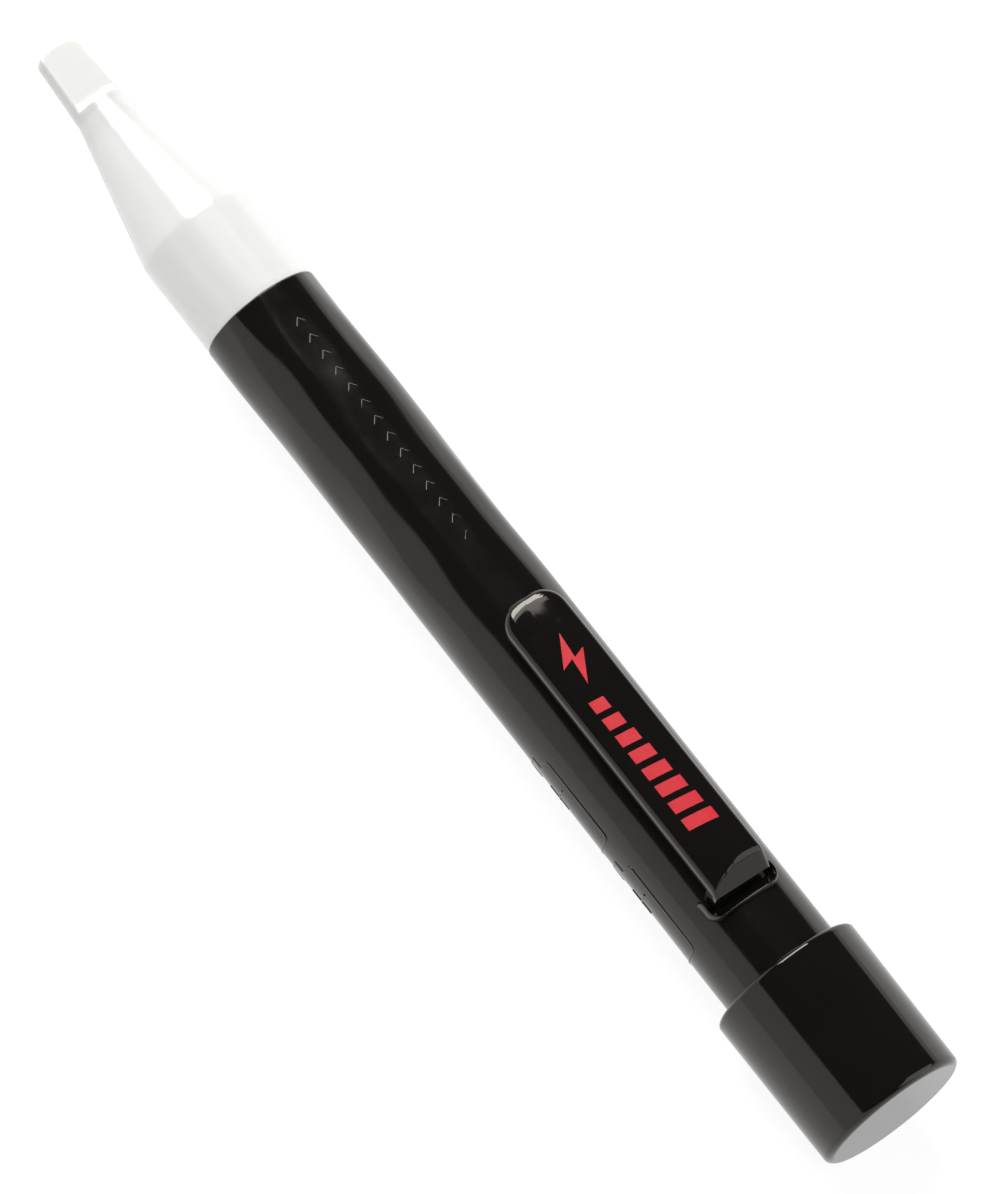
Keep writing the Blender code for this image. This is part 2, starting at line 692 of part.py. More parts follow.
def make_tester():
    gloss_black = make_material("gloss_black_abs", (0.012, 0.011, 0.010), 0.12)
    milky = make_material("milky_polycarbonate", (0.86, 0.87, 0.86), 0.25)
    rubber = make_material("black_nitrile_rubber", (0.02, 0.02, 0.02), 0.7)
    sleeve = make_material("cell_sleeve", (0.10, 0.12, 0.16), 0.35)
    nickel = make_material("nickel_plated_steel", (0.62, 0.60, 0.56), 0.25, 1.0)
    brass = make_material("rolled_brass", (0.72, 0.52, 0.22), 0.3, 1.0)
    laminate = make_material("green_laminate", (0.02, 0.16, 0.07), 0.4)
    black_resin = make_material("black_moulding_resin", (0.02, 0.02, 0.022), 0.5)
    ceramic = make_material("ceramic_body", (0.05, 0.05, 0.055), 0.4)
    can = make_material("aluminium_can", (0.75, 0.76, 0.78), 0.3, 1.0)
    red_lens = make_material("red_epoxy_lens", (0.70, 0.03, 0.02), 0.1)

    pen = add_empty("pen_axis", AXIS)
    cap_axis = add_empty("cap_axis", (0, 0, 0), pen)
    clip_pivot = add_empty("clip_pivot", (CLIP_PIVOT[0], 0, CLIP_PIVOT[1]), pen)

    make_sensor_tip(milky, pen)
    make_barrel(gloss_black, pen)
    make_seal_ring(rubber, pen)
    make_pocket_clip(gloss_black, clip_pivot)

    make_end_cap(gloss_black, cap_axis)
    make_battery_spring(nickel, cap_axis)
    make_spring_contact_cup(nickel, cap_axis)

    make_cell("rear_cell", REAR_CELL_END, sleeve, pen)
    make_cell("front_cell", REAR_CELL_END - CELL_LENGTH - GAP, sleeve, pen)
    make_ground_strip(brass, pen)
    make_positive_contact(nickel, pen)
    make_contact_carrier(black_resin, pen)

    make_circuit_board(laminate, pen)
    make_sensor_antenna(brass, pen)
    make_tip_led(red_lens, pen)
    make_led_lead("led_anode_lead", LEAD_OFFSET, nickel, pen)
    make_led_lead("led_cathode_lead", -LEAD_OFFSET, nickel, pen)
    buzzer_ends = (COMPONENT_FLOOR, BUZZER_TOP)
    make_upright_can("buzzer", BUZZER_STATION, BUZZER_RADIUS, buzzer_ends, black_resin, pen)
    capacitor_ends = (-COMPONENT_FLOOR, CAPACITOR_BOTTOM)
    make_upright_can("filter_capacitor", CAPACITOR_STATION, CAPACITOR_RADIUS, capacitor_ends, can, pen)
    make_chip("control_chip", CHIP_STATION, CHIP_SIZE, 4, black_resin, pen)
    make_chip("amplifier_transistor", TRANSISTOR_STATION, TRANSISTOR_SIZE, 2, black_resin, pen)
    for index, station in enumerate(RESISTOR_STATIONS):
        make_resistor(f"resistor_{index + 1}", station, ceramic, pen)


for leftover in list(bpy.data.objects):
    bpy.data.objects.remove(leftover)
make_tester()
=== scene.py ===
import math

import bmesh
import bpy
from mathutils import Matrix, Vector, noise


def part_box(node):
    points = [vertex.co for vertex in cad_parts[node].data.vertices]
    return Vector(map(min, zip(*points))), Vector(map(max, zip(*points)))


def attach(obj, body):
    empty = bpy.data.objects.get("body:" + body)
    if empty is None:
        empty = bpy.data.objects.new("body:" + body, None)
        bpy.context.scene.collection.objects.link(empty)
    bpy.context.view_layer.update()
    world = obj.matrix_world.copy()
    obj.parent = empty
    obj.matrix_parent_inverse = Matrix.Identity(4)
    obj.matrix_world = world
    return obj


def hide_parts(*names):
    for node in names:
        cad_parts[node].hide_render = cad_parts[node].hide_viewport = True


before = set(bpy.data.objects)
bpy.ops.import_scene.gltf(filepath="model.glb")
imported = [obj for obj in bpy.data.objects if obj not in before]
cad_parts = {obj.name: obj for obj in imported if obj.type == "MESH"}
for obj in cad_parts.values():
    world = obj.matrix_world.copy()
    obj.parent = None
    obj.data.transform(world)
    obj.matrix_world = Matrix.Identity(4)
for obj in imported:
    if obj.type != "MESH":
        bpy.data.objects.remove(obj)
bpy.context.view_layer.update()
print("frame loaded:", len(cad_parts), "nodes")

mm = 0.001
guard = 0.04  # how far the guard points of the tube and the cap stand from their arcs
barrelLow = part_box("barrel")[0]
capLow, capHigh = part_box("end_cap")
axisHeight = (capLow.z + capHigh.z) / 2  # the cap is the widest round piece, and is centred on the axis


# Stations run from the barrel's front face to the cap, heights and radii from the pen's axis, all in millimetres
def place(station, across, height):
    return Vector((barrelLow.x + station * mm, across * mm, axisHeight + height * mm))


def onAxis(station, radius, angle):  # angle 0 is across the pen, a quarter turn is up
    return place(station, radius * math.cos(angle), radius * math.sin(angle))


# Helpers for meshes

# Corners are (u, v, radius): one with a radius becomes an arc, with points a little apart from it
# that keep the shading of the long runs flat
def filleted(corners, steps=6, apart=0.0):
    points = []
    for index, (u, v, radius) in enumerate(corners):
        corner = Vector((u, v))
        if not radius:
            points.append(corner)
            continue
        back = (Vector(corners[index - 1][:2]) - corner).normalized()
        ahead = (Vector(corners[(index + 1) % len(corners)][:2]) - corner).normalized()
        half = back.angle(ahead) / 2
        centre = corner + (back + ahead).normalized() * radius / math.sin(half)
        first = corner + back * radius / math.tan(half) - centre
        last = corner + ahead * radius / math.tan(half) - centre
        start = math.atan2(first.y, first.x)
        turn = math.remainder(math.atan2(last.y, last.x) - start, math.tau)
        if apart:
            points.append(centre + first + back * apart)
        for step in range(steps + 1):
            angle = start + turn * step / steps
            points.append(centre + radius * Vector((math.cos(angle), math.sin(angle))))
        if apart:
            points.append(centre + last + ahead * apart)
    return points


def spaced(outline, longest, above=-math.inf):  # splits the long runs of a closed outline that lie above a radius
    points = []
    for first, second in zip(outline, outline[1:] + outline[:1]):
        points.append(first)
        if min(first.y, second.y) > above:
            parts = max(math.ceil((second - first).length / longest), 1)
            points += [first.lerp(second, part / parts) for part in range(1, parts)]
    return points


def ringMesh(rings, loop=False):  # a ring of one point is a pole
    bm = bmesh.new()
    rows = [[bm.verts.new(point) for point in ring] for ring in rings]
    pairs = list(zip(rows, rows[1:])) + ([(rows[-1], rows[0])] if loop else [])
    for first, second in pairs:
        count = max(len(first), len(second))
        for index in range(count):
            after = (index + 1) % count
            corners = (
                first[index % len(first)], first[after % len(first)],
                second[after % len(second)], second[index % len(second)],
            )
            bm.faces.new(list(dict.fromkeys(corners)))
    return bm


def turned(outline, segments, radiusAt=None):  # closed outline of (station, radius) turned about the axis
    rings = []
    for station, radius in outline:
        if radius < 1e-6:
            rings.append([place(station, 0, 0)])
            continue
        ring = []
        for index in range(segments):
            angle = math.tau * index / segments
            ring.append(onAxis(station, radiusAt(station, radius, angle) if radiusAt else radius, angle))
        rings.append(ring)
    return ringMesh(rings, loop=len(rings[0]) > 1)


def makePiece(name, bm, materials, body, nodes=(), sharp=35):
    bmesh.ops.recalc_face_normals(bm, faces=bm.faces)
    mesh = bpy.data.meshes.new(name)
    bm.to_mesh(mesh)
    bm.free()
    for material in materials:
        mesh.materials.append(material)
    mesh.shade_smooth()
    mesh.set_sharp_from_angle(angle=math.radians(sharp))
    piece = bpy.data.objects.new(name, mesh)
    bpy.context.scene.collection.objects.link(piece)
    return settle(piece, body, nodes)


def settle(piece, body, nodes=()):
    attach(piece, body)
    if nodes:
        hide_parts(*nodes)
    print("made", piece.name, len(piece.data.polygons), "faces")
    return piece


# Helpers for node trees

def linear(code, alpha=1.0):  # sRGB hex to linear
    parts = [int(code[start:start + 2], 16) / 255 for start in (1, 3, 5)]
    return (*[p / 12.92 if p <= 0.04045 else ((p + 0.055) / 1.055) ** 2.4 for p in parts], alpha)


def addNode(tree, kind, inputs=None, **settings):
    node = tree.nodes.new(kind)
    for key, value in settings.items():
        setattr(node, key, value)
    for key, value in (inputs or {}).items():
        if isinstance(value, bpy.types.NodeSocket):
            tree.links.new(value, node.inputs[key])
        else:
            node.inputs[key].default_value = value
    return node


def newMaterial(name, inputs):  # a Principled material, and a vector of Object coordinates in millimetres
    material = bpy.data.materials.new(name)
    material.use_nodes = True
    tree = material.node_tree
    shader = tree.nodes["Principled BSDF"]
    for key, value in inputs.items():
        shader.inputs[key].default_value = value
    coordinates = addNode(tree, "ShaderNodeTexCoord")
    inMm = addNode(tree, "ShaderNodeVectorMath", {0: coordinates.outputs["Object"], "Scale": 1 / mm}, operation="SCALE")
    return material, tree, shader, inMm.outputs[0]


# Materials

def blackAbsPlastic(name, smooth, worn):
    # ABS moulded in a polished tool: near black and slightly warm, with dust lying on it
    look = {
        "pigment": "#0d0b0a", "pigmentLight": "#12100e", "cloud": 9.0,
        "scuff": 3.5, "peel": 2.2, "peelDepth": 0.000004,
        "speckSpacing": 2.6, "speckSize": 0.035, "speckShare": 0.86, "speck": "#8d8a86",
    }
    material, tree, shader, inMm = newMaterial(name, {
        "IOR": 1.52, "Specular Tint": linear("#fff8ee"),
    })
    cloud = addNode(tree, "ShaderNodeTexNoise", {"Vector": inMm, "Scale": 1 / look["cloud"], "Detail": 3.0})
    body = addNode(tree, "ShaderNodeMix", {
        0: cloud.outputs["Fac"], 6: linear(look["pigment"]), 7: linear(look["pigmentLight"]),
    }, data_type="RGBA")
    specks = addNode(tree, "ShaderNodeTexVoronoi", {"Vector": inMm, "Scale": 1 / look["speckSpacing"]})
    near = addNode(tree, "ShaderNodeMath", {
        0: specks.outputs["Distance"], 1: look["speckSize"],
    }, operation="LESS_THAN")
    rare = addNode(tree, "ShaderNodeMath", {
        0: specks.outputs["Color"], 1: look["speckShare"],
    }, operation="GREATER_THAN")
    dust = addNode(tree, "ShaderNodeMath", {0: near.outputs[0], 1: rare.outputs[0]}, operation="MULTIPLY")
    colour = addNode(tree, "ShaderNodeMix", {
        0: dust.outputs[0], 6: body.outputs[2], 7: linear(look["speck"]),
    }, data_type="RGBA")
    tree.links.new(colour.outputs[2], shader.inputs["Base Color"])
    scuff = addNode(tree, "ShaderNodeTexNoise", {
        "Vector": inMm, "Scale": 1 / look["scuff"], "Detail": 6.0, "Roughness": 0.6,
    })
    rough = addNode(tree, "ShaderNodeMapRange", {
        "Value": scuff.outputs["Fac"], "From Min": 0.35, "From Max": 0.75, "To Min": smooth, "To Max": worn,
    })
    tree.links.new(rough.outputs[0], shader.inputs["Roughness"])
    peel = addNode(tree, "ShaderNodeTexNoise", {"Vector": inMm, "Scale": 1 / look["peel"], "Detail": 2.0})
    bump = addNode(tree, "ShaderNodeBump", {
        "Height": peel.outputs["Fac"], "Strength": 1.0, "Distance": look["peelDepth"],
    })
    tree.links.new(bump.outputs[0], shader.inputs["Normal"])
    return material


def milkyPolycarbonate():
    # Light-diffusing polycarbonate: glossy skin over a milky body that scatters light a millimetre or two, with painted
    # shade darkening the blade
    look = {
        "body": "#dadad8", "bodyCool": "#d5d6d3", "cloud": 5.0, "flow": 0.25,
        "bladeShade": "#cbcbc8", "bladeShadeEnd": -34.0, "bladeShadeFade": -27.0,  # painted shade: the blade gets a darker base colour than the cone so that it renders no brighter than the cone
        "smooth": 0.14, "worn": 0.24, "scuff": 2.0, "peel": 0.7, "peelDepth": 0.0000006,
    }
    material, tree, shader, inMm = newMaterial("milky polycarbonate, moulded", {
        "IOR": 1.58, "Subsurface Weight": 0.45, "Subsurface Radius": (1.0, 1.0, 1.0), "Subsurface Scale": 0.0012,
    })
    along = addNode(tree, "ShaderNodeMapping", {"Vector": inMm, "Scale": (look["flow"], 1.0, 1.0)})
    cloud = addNode(tree, "ShaderNodeTexNoise", {"Vector": along.outputs[0], "Scale": 1 / look["cloud"], "Detail": 3.0})
    unshadedBody = addNode(tree, "ShaderNodeMix", {
        0: cloud.outputs["Fac"], 6: linear(look["body"]), 7: linear(look["bodyCool"]),
    }, data_type="RGBA")
    axes = addNode(tree, "ShaderNodeSeparateXYZ", {0: inMm})
    start = barrelLow.x / mm
    # painted shade: the blade's darker base colour fades into the cone's own colour between these two stations
    shadeFade = addNode(tree, "ShaderNodeMapRange", {
        "Value": axes.outputs[0], "From Min": start + look["bladeShadeEnd"], "From Max": start + look["bladeShadeFade"],
    }, interpolation_type="SMOOTHSTEP")
    colour = addNode(tree, "ShaderNodeMix", {
        0: shadeFade.outputs[0], 6: linear(look["bladeShade"]), 7: unshadedBody.outputs[2],
    }, data_type="RGBA")
    tree.links.new(colour.outputs[2], shader.inputs["Base Color"])
    scuff = addNode(tree, "ShaderNodeTexNoise", {"Vector": inMm, "Scale": 1 / look["scuff"], "Detail": 5.0})
    rough = addNode(tree, "ShaderNodeMapRange", {
        "Value": scuff.outputs["Fac"], "From Min": 0.3, "From Max": 0.7,
        "To Min": look["smooth"], "To Max": look["worn"],
    })
    tree.links.new(rough.outputs[0], shader.inputs["Roughness"])
    peel = addNode(tree, "ShaderNodeTexNoise", {"Vector": inMm, "Scale": 1 / look["peel"], "Detail": 2.0})
    bump = addNode(tree, "ShaderNodeBump", {
        "Height": peel.outputs["Fac"], "Strength": 1.0, "Distance": look["peelDepth"],
    })
    tree.links.new(bump.outputs[0], shader.inputs["Normal"])
    return material


def grainyMaterial(name, look, inputs):
    # Two tones, two gloss levels and a fine relief, all on one real grain size
    material, tree, shader, inMm = newMaterial(name, inputs)
    stretch = look.get("stretch", (1.0, 1.0, 1.0))
    stretched = addNode(tree, "ShaderNodeMapping", {"Vector": inMm, "Scale": stretch})
    grain = addNode(tree, "ShaderNodeTexNoise", {
        "Vector": stretched.outputs[0], "Scale": 1 / look["grain"], "Detail": 4.0, "Roughness": 0.6,
    })
    colour = addNode(tree, "ShaderNodeMix", {
        0: grain.outputs["Fac"], 6: linear(look["first"]), 7: linear(look["second"]),
    }, data_type="RGBA")
    tree.links.new(colour.outputs[2], shader.inputs["Base Color"])
    rough = addNode(tree, "ShaderNodeMapRange", {
        "Value": grain.outputs["Fac"], "From Min": 0.3, "From Max": 0.7,
        "To Min": look["smooth"], "To Max": look["rough"],
    })
    tree.links.new(rough.outputs[0], shader.inputs["Roughness"])
    bump = addNode(tree, "ShaderNodeBump", {
        "Height": grain.outputs["Fac"], "Strength": 1.0, "Distance": look["relief"],
    })
    tree.links.new(bump.outputs[0], shader.inputs["Normal"])
    return material


def solderMaskGreen():
    # Solder mask over etched copper: glossy green, lighter where a track runs under it
    look = {"mask": "#0f4a2c", "track": "#1d6b3f", "pitch": 1.27, "trackWidth": 0.36, "rough": 0.32, "relief": 0.00002}
    material, tree, shader, inMm = newMaterial("green solder mask on laminate", {
        "Roughness": look["rough"], "IOR": 1.5,
    })
    tracks = addNode(tree, "ShaderNodeTexBrick", {
        "Vector": inMm, "Mortar": linear(look["track"]),
        "Color1": linear(look["mask"]), "Color2": linear(look["mask"]),
        "Scale": 1 / look["pitch"], "Mortar Size": look["trackWidth"] / look["pitch"] / 4, "Mortar Smooth": 0.1,
        "Brick Width": 4.0, "Row Height": 0.9,
    }, offset=0.37, squash=0.6)
    tree.links.new(tracks.outputs["Color"], shader.inputs["Base Color"])
    bump = addNode(tree, "ShaderNodeBump", {
        "Height": tracks.outputs["Fac"], "Strength": 1.0, "Distance": look["relief"],
    })
    tree.links.new(bump.outputs[0], shader.inputs["Normal"])
    return material


# Mirror-like on the clip and the cap, and a shade softer on the tube that a hand has held
blackAbs = blackAbsPlastic("gloss black ABS, polished", 0.045, 0.11)
handledAbs = blackAbsPlastic("gloss black ABS, handled", 0.10, 0.15)
milkyTip = milkyPolycarbonate()
# Nitrile rubber off a ground mould: dull, dark grey at a glance
nitrileRubber = grainyMaterial("black nitrile rubber, moulded", {
    "first": "#17171a", "second": "#222326", "grain": 0.35, "smooth": 0.55, "rough": 0.8, "relief": 0.000004,
}, {"IOR": 1.5})
# Nickel plate on spring wire and pressed cups: bright, warm grey, drawn along its length
nickelPlate = grainyMaterial("nickel plate on steel, bright", {
    "first": "#c9c3b8", "second": "#dad6cd", "grain": 0.5, "smooth": 0.18, "rough": 0.32, "relief": 0.0000015,
}, {"Metallic": 1.0})
# Rolled brass: yellow, with fine lines along the strip
rolledBrass = grainyMaterial("rolled brass strip", {
    "first": "#b98f45", "second": "#d2a85c", "grain": 0.6, "smooth": 0.22, "rough": 0.38, "relief": 0.0000015,
    "stretch": (0.08, 1.0, 1.0),
}, {"Metallic": 1.0})
# Drawn aluminium of the capacitor's can: pale, with a satin bloom
drawnAluminium = grainyMaterial("drawn aluminium can", {
    "first": "#c4c7cb", "second": "#dfe1e4", "grain": 0.4, "smooth": 0.25, "rough": 0.4, "relief": 0.000001,
}, {"Metallic": 1.0})
# Shrink sleeve over a cell: smooth dark film
shrinkSleeve = grainyMaterial("shrink sleeve film, dark", {
    "first": "#23282f", "second": "#2b313a", "grain": 3.0, "smooth": 0.22, "rough": 0.34, "relief": 0.000002,
}, {"IOR": 1.5, "Coat Weight": 0.4, "Coat Roughness": 0.1})
# Copper-toned end band of the sleeve
sleeveBand = grainyMaterial("shrink sleeve film, copper band", {
    "first": "#a3683a", "second": "#b57946", "grain": 3.0, "smooth": 0.25, "rough": 0.36, "relief": 0.000002,
}, {"Metallic": 0.8})
# Epoxy moulding compound of chips, buzzer and carrier: matt black with a slight grit
mouldingResin = grainyMaterial("epoxy moulding compound, matt", {
    "first": "#1b1b1d", "second": "#27272a", "grain": 0.18, "smooth": 0.5, "rough": 0.68, "relief": 0.000003,
}, {"IOR": 1.52})
# Chip resistor: dark glazed ceramic
glazedCeramic = grainyMaterial("glazed ceramic chip", {
    "first": "#2a2a2d", "second": "#3a3a3f", "grain": 0.3, "smooth": 0.3, "rough": 0.45, "relief": 0.000002,
}, {"IOR": 1.55})
# Tinted epoxy lens: clear red with a wet shine
redLens = grainyMaterial("tinted epoxy lens, red", {
    "first": "#c01210", "second": "#d11c18", "grain": 0.8, "smooth": 0.06, "rough": 0.1, "relief": 0.0000005,
}, {"IOR": 1.54, "Transmission Weight": 0.5})
# Pad-printed ink: flat bright red, a little duller than the plastic under it
redInk = grainyMaterial("red pad-print ink", {
    "first": "#be0d1e", "second": "#c61627", "grain": 0.25, "smooth": 0.28, "rough": 0.42, "relief": 0.0000008,
}, {"IOR": 1.5})
maskGreen = solderMaskGreen()
print("materials made")


# Sensor tip: cone, flattened blade and spigot, hollow for the lamp and the board

tip = {
    "end": -42.7, "step": -33.5, "cone": -13.2, "rear": -0.1, "spigotEnd": 8.0,
    "endRadius": 3.0, "endArc": 8.0, "neckStart": 2.0, "neckRadius": 3.43, "radius": 7.95, "coneBlend": 4.0,
    "spigotRadius": 6.6, "bore": 5.7, "bladeAtEnd": 1.48, "bladeAtStep": 1.74, "slotEnd": -41.1, "segments": 176,
}


def clippedRadius(radius, half, angle, power=40):  # circle cut by two flats, its corners a little rounded
    return (radius ** -power + (abs(math.sin(angle)) / half) ** power) ** (-1 / power)


def ovalRadius(halfAcross, halfUp, power, angle):
    across, up = abs(math.cos(angle)) / halfAcross, abs(math.sin(angle)) / halfUp
    return (across ** power + up ** power) ** (-1 / power)


def interpolate(table, value):  # table of (x, y) rows in order
    if value <= table[0][0]:
        return table[0][1]
    for (x0, y0), (x1, y1) in zip(table, table[1:]):
        if value <= x1:
            return y0 + (y1 - y0) * (value - x0) / (x1 - x0)
    return table[-1][1]


def neckRadius(station):  # the blade's sides widen evenly towards the step
    share = (station - tip["end"] - tip["neckStart"]) / (tip["step"] - tip["end"] - tip["neckStart"])
    return tip["endRadius"] + (tip["neckRadius"] - tip["endRadius"]) * share


def makeSensorTip():
    end, step, arc, bore = tip["end"], tip["step"], tip["endArc"], tip["bore"]
    outer = [(end, 0.0)]
    for radius in (0.4, 0.8, 1.2, 1.6, 1.95, 2.25, 2.45):
        outer.append((end + arc - math.sqrt(arc ** 2 - radius ** 2), radius))
    outer += [(end + 0.47, 2.62), (end + 0.60, 2.75), (end + 0.78, 2.86), (end + 1.02, 2.93), (end + 1.35, 2.98)]
    outer += [(end + run, neckRadius(end + run)) for run in (2.2, 3.2, 4.4, 5.6, 6.8, 7.8)]
    ledge = (-0.30, -0.22, -0.15, -0.09, -0.05, -0.02, -0.01, 0.0, 0.03, 0.08, 0.15, 0.25, 0.38)
    outer += [(step + run, tip["neckRadius"] + max(run, 0.0) * 0.05) for run in ledge]
    coneRun = [
        (step + 0.38, tip["neckRadius"] + 0.02, 0), (step + 1.0, tip["neckRadius"] + 0.07, 0.6),
        (tip["cone"], tip["radius"], tip["coneBlend"]), (tip["rear"], tip["radius"], 0.12),
        (tip["rear"], tip["spigotRadius"], 0),
    ]
    outer += [tuple(point) for point in spaced(filleted(coneRun, 8)[1:], 1.0, tip["endRadius"])][:-1]
    flats = [  # (station, half height): the blade's two faces, then the rounded ledge where they meet the cone
        (end, tip["bladeAtEnd"]), (step - 0.30, tip["bladeAtStep"] - 0.02), (step - 0.15, tip["bladeAtStep"] + 0.03),
        (step - 0.09, tip["bladeAtStep"] + 0.08), (step - 0.05, tip["bladeAtStep"] + 0.17),
        (step - 0.02, tip["bladeAtStep"] + 0.35), (step - 0.01, 3.0), (step, 3.22), (step + 0.03, 3.33),
        (step + 0.08, 3.43), (step + 0.15, 3.51), (step + 0.25, 3.6), (step + 0.38, 3.9), (step + 1.0, 12.0),
    ]
    inner = [  # (station, half width, half height, power): round in the spigot, a flat slot in the blade
        (tip["spigotEnd"], tip["spigotRadius"], tip["spigotRadius"], 2.0), (tip["spigotEnd"], bore, bore, 2.0),
        (-13.6, bore, bore, 2.0), (-14.4, 5.6, 5.6, 2.0), (-29.6, 2.4, 2.0, 2.0), (-30.9, 1.95, 1.0, 3.0),
        (-31.0, 1.9, 0.5, 8.0), (tip["slotEnd"], 1.9, 0.5, 8.0), (tip["slotEnd"], 0.6, 0.15, 4.0),
    ]
    count = tip["segments"]
    angles = [math.tau * (index + 0.5) / count for index in range(count)]
    rings = []
    for station, radius in outer:
        if radius < 1e-6:
            rings.append([place(station, 0, 0)])
        else:
            half = interpolate(flats, station)
            rings.append([onAxis(station, clippedRadius(radius, half, angle), angle) for angle in angles])
    for station, across, up, power in inner:
        rings.append([onAxis(station, ovalRadius(across, up, power, angle), angle) for angle in angles])
    rings.append([place(tip["slotEnd"], 0, 0)])
    bm = ringMesh(rings)
    return makePiece("sensorTip", bm, [milkyTip], "barrel_unit", ["sensor_tip"], 50)


makeSensorTip()


# Barrel: gloss tube with soft sinks, a flat under the clip's foot, and a tail for the cap

barrel = {
    "radius": 8.0, "bore": 5.9, "frontBore": 6.9, "frontBoreEnd": 9.0, "shoulder": 105.0, "end": 117.5, "tail": 7.1,
    "groove": 6.9, "grooveEnd": 106.7, "collar": 7.75, "collarEnd": 107.3, "tailStart": 107.7,
    "pocketFront": 92.2, "pocketRear": 95.5, "pocketFloor": 7.3, "stripGroove": 6.45, "stripHalf": 1.7,
    "sink": 0.045, "sinkFront": 0.17, "sinkFrontEnd": 55.0, "sinkFade": 12.0, "sinkLength": 11.0, "sinkSeed": 3.1,
    "skin": 7.8, "longRuns": 7.9, "segments": 144, "spacing": 0.8,
}
sinksAround = 2.6  # how quickly the hollows change round the axis


def sinkMark(station, angle, reach, lengthMm, seed):  # shallow hollows left as thick plastic cools
    spot = Vector((station / lengthMm, math.cos(angle) * sinksAround + seed, math.sin(angle) * sinksAround))
    return reach * noise.noise(spot)


def barrelSkin(station, radius, angle):
    if radius > barrel["skin"]:
        share = min(max((barrel["sinkFrontEnd"] - station) / barrel["sinkFade"], 0), 1)
        reach = barrel["sink"] + (barrel["sinkFront"] - barrel["sink"]) * share
        radius += sinkMark(station, angle, reach, barrel["sinkLength"], barrel["sinkSeed"])
        inPocket = barrel["pocketFront"] + 0.01 < station < barrel["pocketRear"] - 0.01
        if inPocket and math.sin(angle) > 0.5:
            radius = min(radius, barrel["pocketFloor"] / math.sin(angle))
    if radius == barrel["bore"] and math.sin(angle) < -0.9 and abs(radius * math.cos(angle)) < barrel["stripHalf"]:
        radius = barrel["stripGroove"]
    return radius


def makeBarrel():
    radius, shoulder, end = barrel["radius"], barrel["shoulder"], barrel["end"]
    corners = [
        (0, radius, 0.06),
        (barrel["pocketFront"], radius, 0), (barrel["pocketFront"] + 0.02, radius, 0),
        (barrel["pocketRear"] - 0.02, radius, 0), (barrel["pocketRear"], radius, 0),
        (shoulder, radius, 0.2), (shoulder, barrel["groove"], 0.08),
        (barrel["grooveEnd"], barrel["groove"], 0.08), (barrel["grooveEnd"], barrel["collar"], 0.1),
        (barrel["collarEnd"], barrel["collar"], 0.1), (barrel["tailStart"], barrel["tail"], 0.15),
        (end, barrel["tail"], 0.3), (end, barrel["bore"], 0.1),
        (barrel["frontBoreEnd"], barrel["bore"], 0), (barrel["frontBoreEnd"], barrel["frontBore"], 0),
        (0, barrel["frontBore"], 0.1),
    ]
    outline = spaced(filleted(corners, 5, guard), barrel["spacing"], barrel["longRuns"])
    bm = turned(outline, barrel["segments"], barrelSkin)
    return makePiece("barrelShell", bm, [handledAbs], "barrel_unit", ["barrel"], 40)


makeBarrel()


# The U-shaped rim round the clip's foot: walls that rise from the tube to a rounded, gently arched top

socket = {
    "front": 92.4, "rear": 95.9, "half": 5.0, "corner": 1.5, "spacing": 0.4, "fade": 1.5, "top": 8.33, "arch": 20.0,
    "buried": 0.15,
    "profile": ((-0.30, 0), (-0.28, 0.5), (-0.17, 0.8), (-0.05, 1), (0.05, 1), (0.17, 0.8), (0.28, 0.5), (0.30, 0)),
}


def makeClipSocket():
    front, rear, half = socket["front"], socket["rear"], socket["half"]
    corners = [(front, -half, 0), (rear, -half, socket["corner"]), (rear, half, socket["corner"]), (front, half, 0)]
    plan = filleted(corners, 10)
    path = plan[:1]
    for first, second in zip(plan, plan[1:]):
        parts = math.ceil((second - first).length / socket["spacing"])
        path += [first.lerp(second, part / parts) for part in range(1, parts + 1)]
    rings = []
    for index, point in enumerate(path):
        run = path[min(index + 1, len(path) - 1)] - path[max(index - 1, 0)]
        side = Vector((run.y, -run.x)).normalized()
        fromEnd = min((point - path[0]).length, (point - path[-1]).length)
        rise = math.sin(min(fromEnd / socket["fade"], 1) * math.pi / 2)
        ring = []
        for offset, share in socket["profile"]:
            spot = point + side * offset
            low = math.sqrt((barrel["radius"] - socket["buried"]) ** 2 - spot.y ** 2)
            top = socket["top"] - spot.y ** 2 / (2 * socket["arch"])
            ring.append(place(spot.x, spot.y, low + (top - low) * share * (0.05 + 0.95 * rise)))
        rings.append(ring)
    ends = [[sum(ring, Vector()) / len(ring)] for ring in (rings[0], rings[-1])]
    bm = ringMesh([ends[0], *rings, ends[1]])
    return makePiece("clipSocketRim", bm, [handledAbs], "barrel_unit", (), 60)


makeClipSocket()


# Pocket clip: crowned strip, rolled nose with a crease, sloped root and a foot

clip = {
    "nose": 50.5, "root": 94.4, "half": 4.25, "corner": 3.1, "top": 12.2, "crown": 10.9, "underside": 9.6,
    "edge": 0.6, "wallTop": 10.35, "noseDrop": 0.25, "noseRun": 1.5, "noseFlat": 0.35, "noseFade": 3.0,
    "slope": 0.26, "slopeMore": 0.05, "slopeRun": 9.0,
    "crease": 0.045, "creaseWidth": 0.18, "creaseRun": 8.0, "creaseAcross": -0.45,
    "rampFront": 92.2, "rampSlope": 1.083, "rampSkew": 0.15, "rampSoft": 0.15,
    "lip": 0.14, "lipRun": 0.16, "bump": 54.1, "bumpFlat": 0.5, "bumpRun": 1.4, "bumpEdge": 0.8, "bumpBottom": 8.4,
    "footFront": 92.6, "footBottom": 7.6, "footGap": 0.14,
}
# How far in from the outline the grid's lines run: close together at the rounded edge and at the crease
levels = [
    0, 0.04, 0.10, 0.16, 0.18, 0.22, 0.30, 0.40, 0.52, 0.70, 0.95, 1.25, 1.6, 2.0, 2.5, 3.0,
    3.3, 3.45, 3.58, 3.68, 3.74, 3.8, 3.86, 3.92, 4.02, 4.15, 4.25,
]


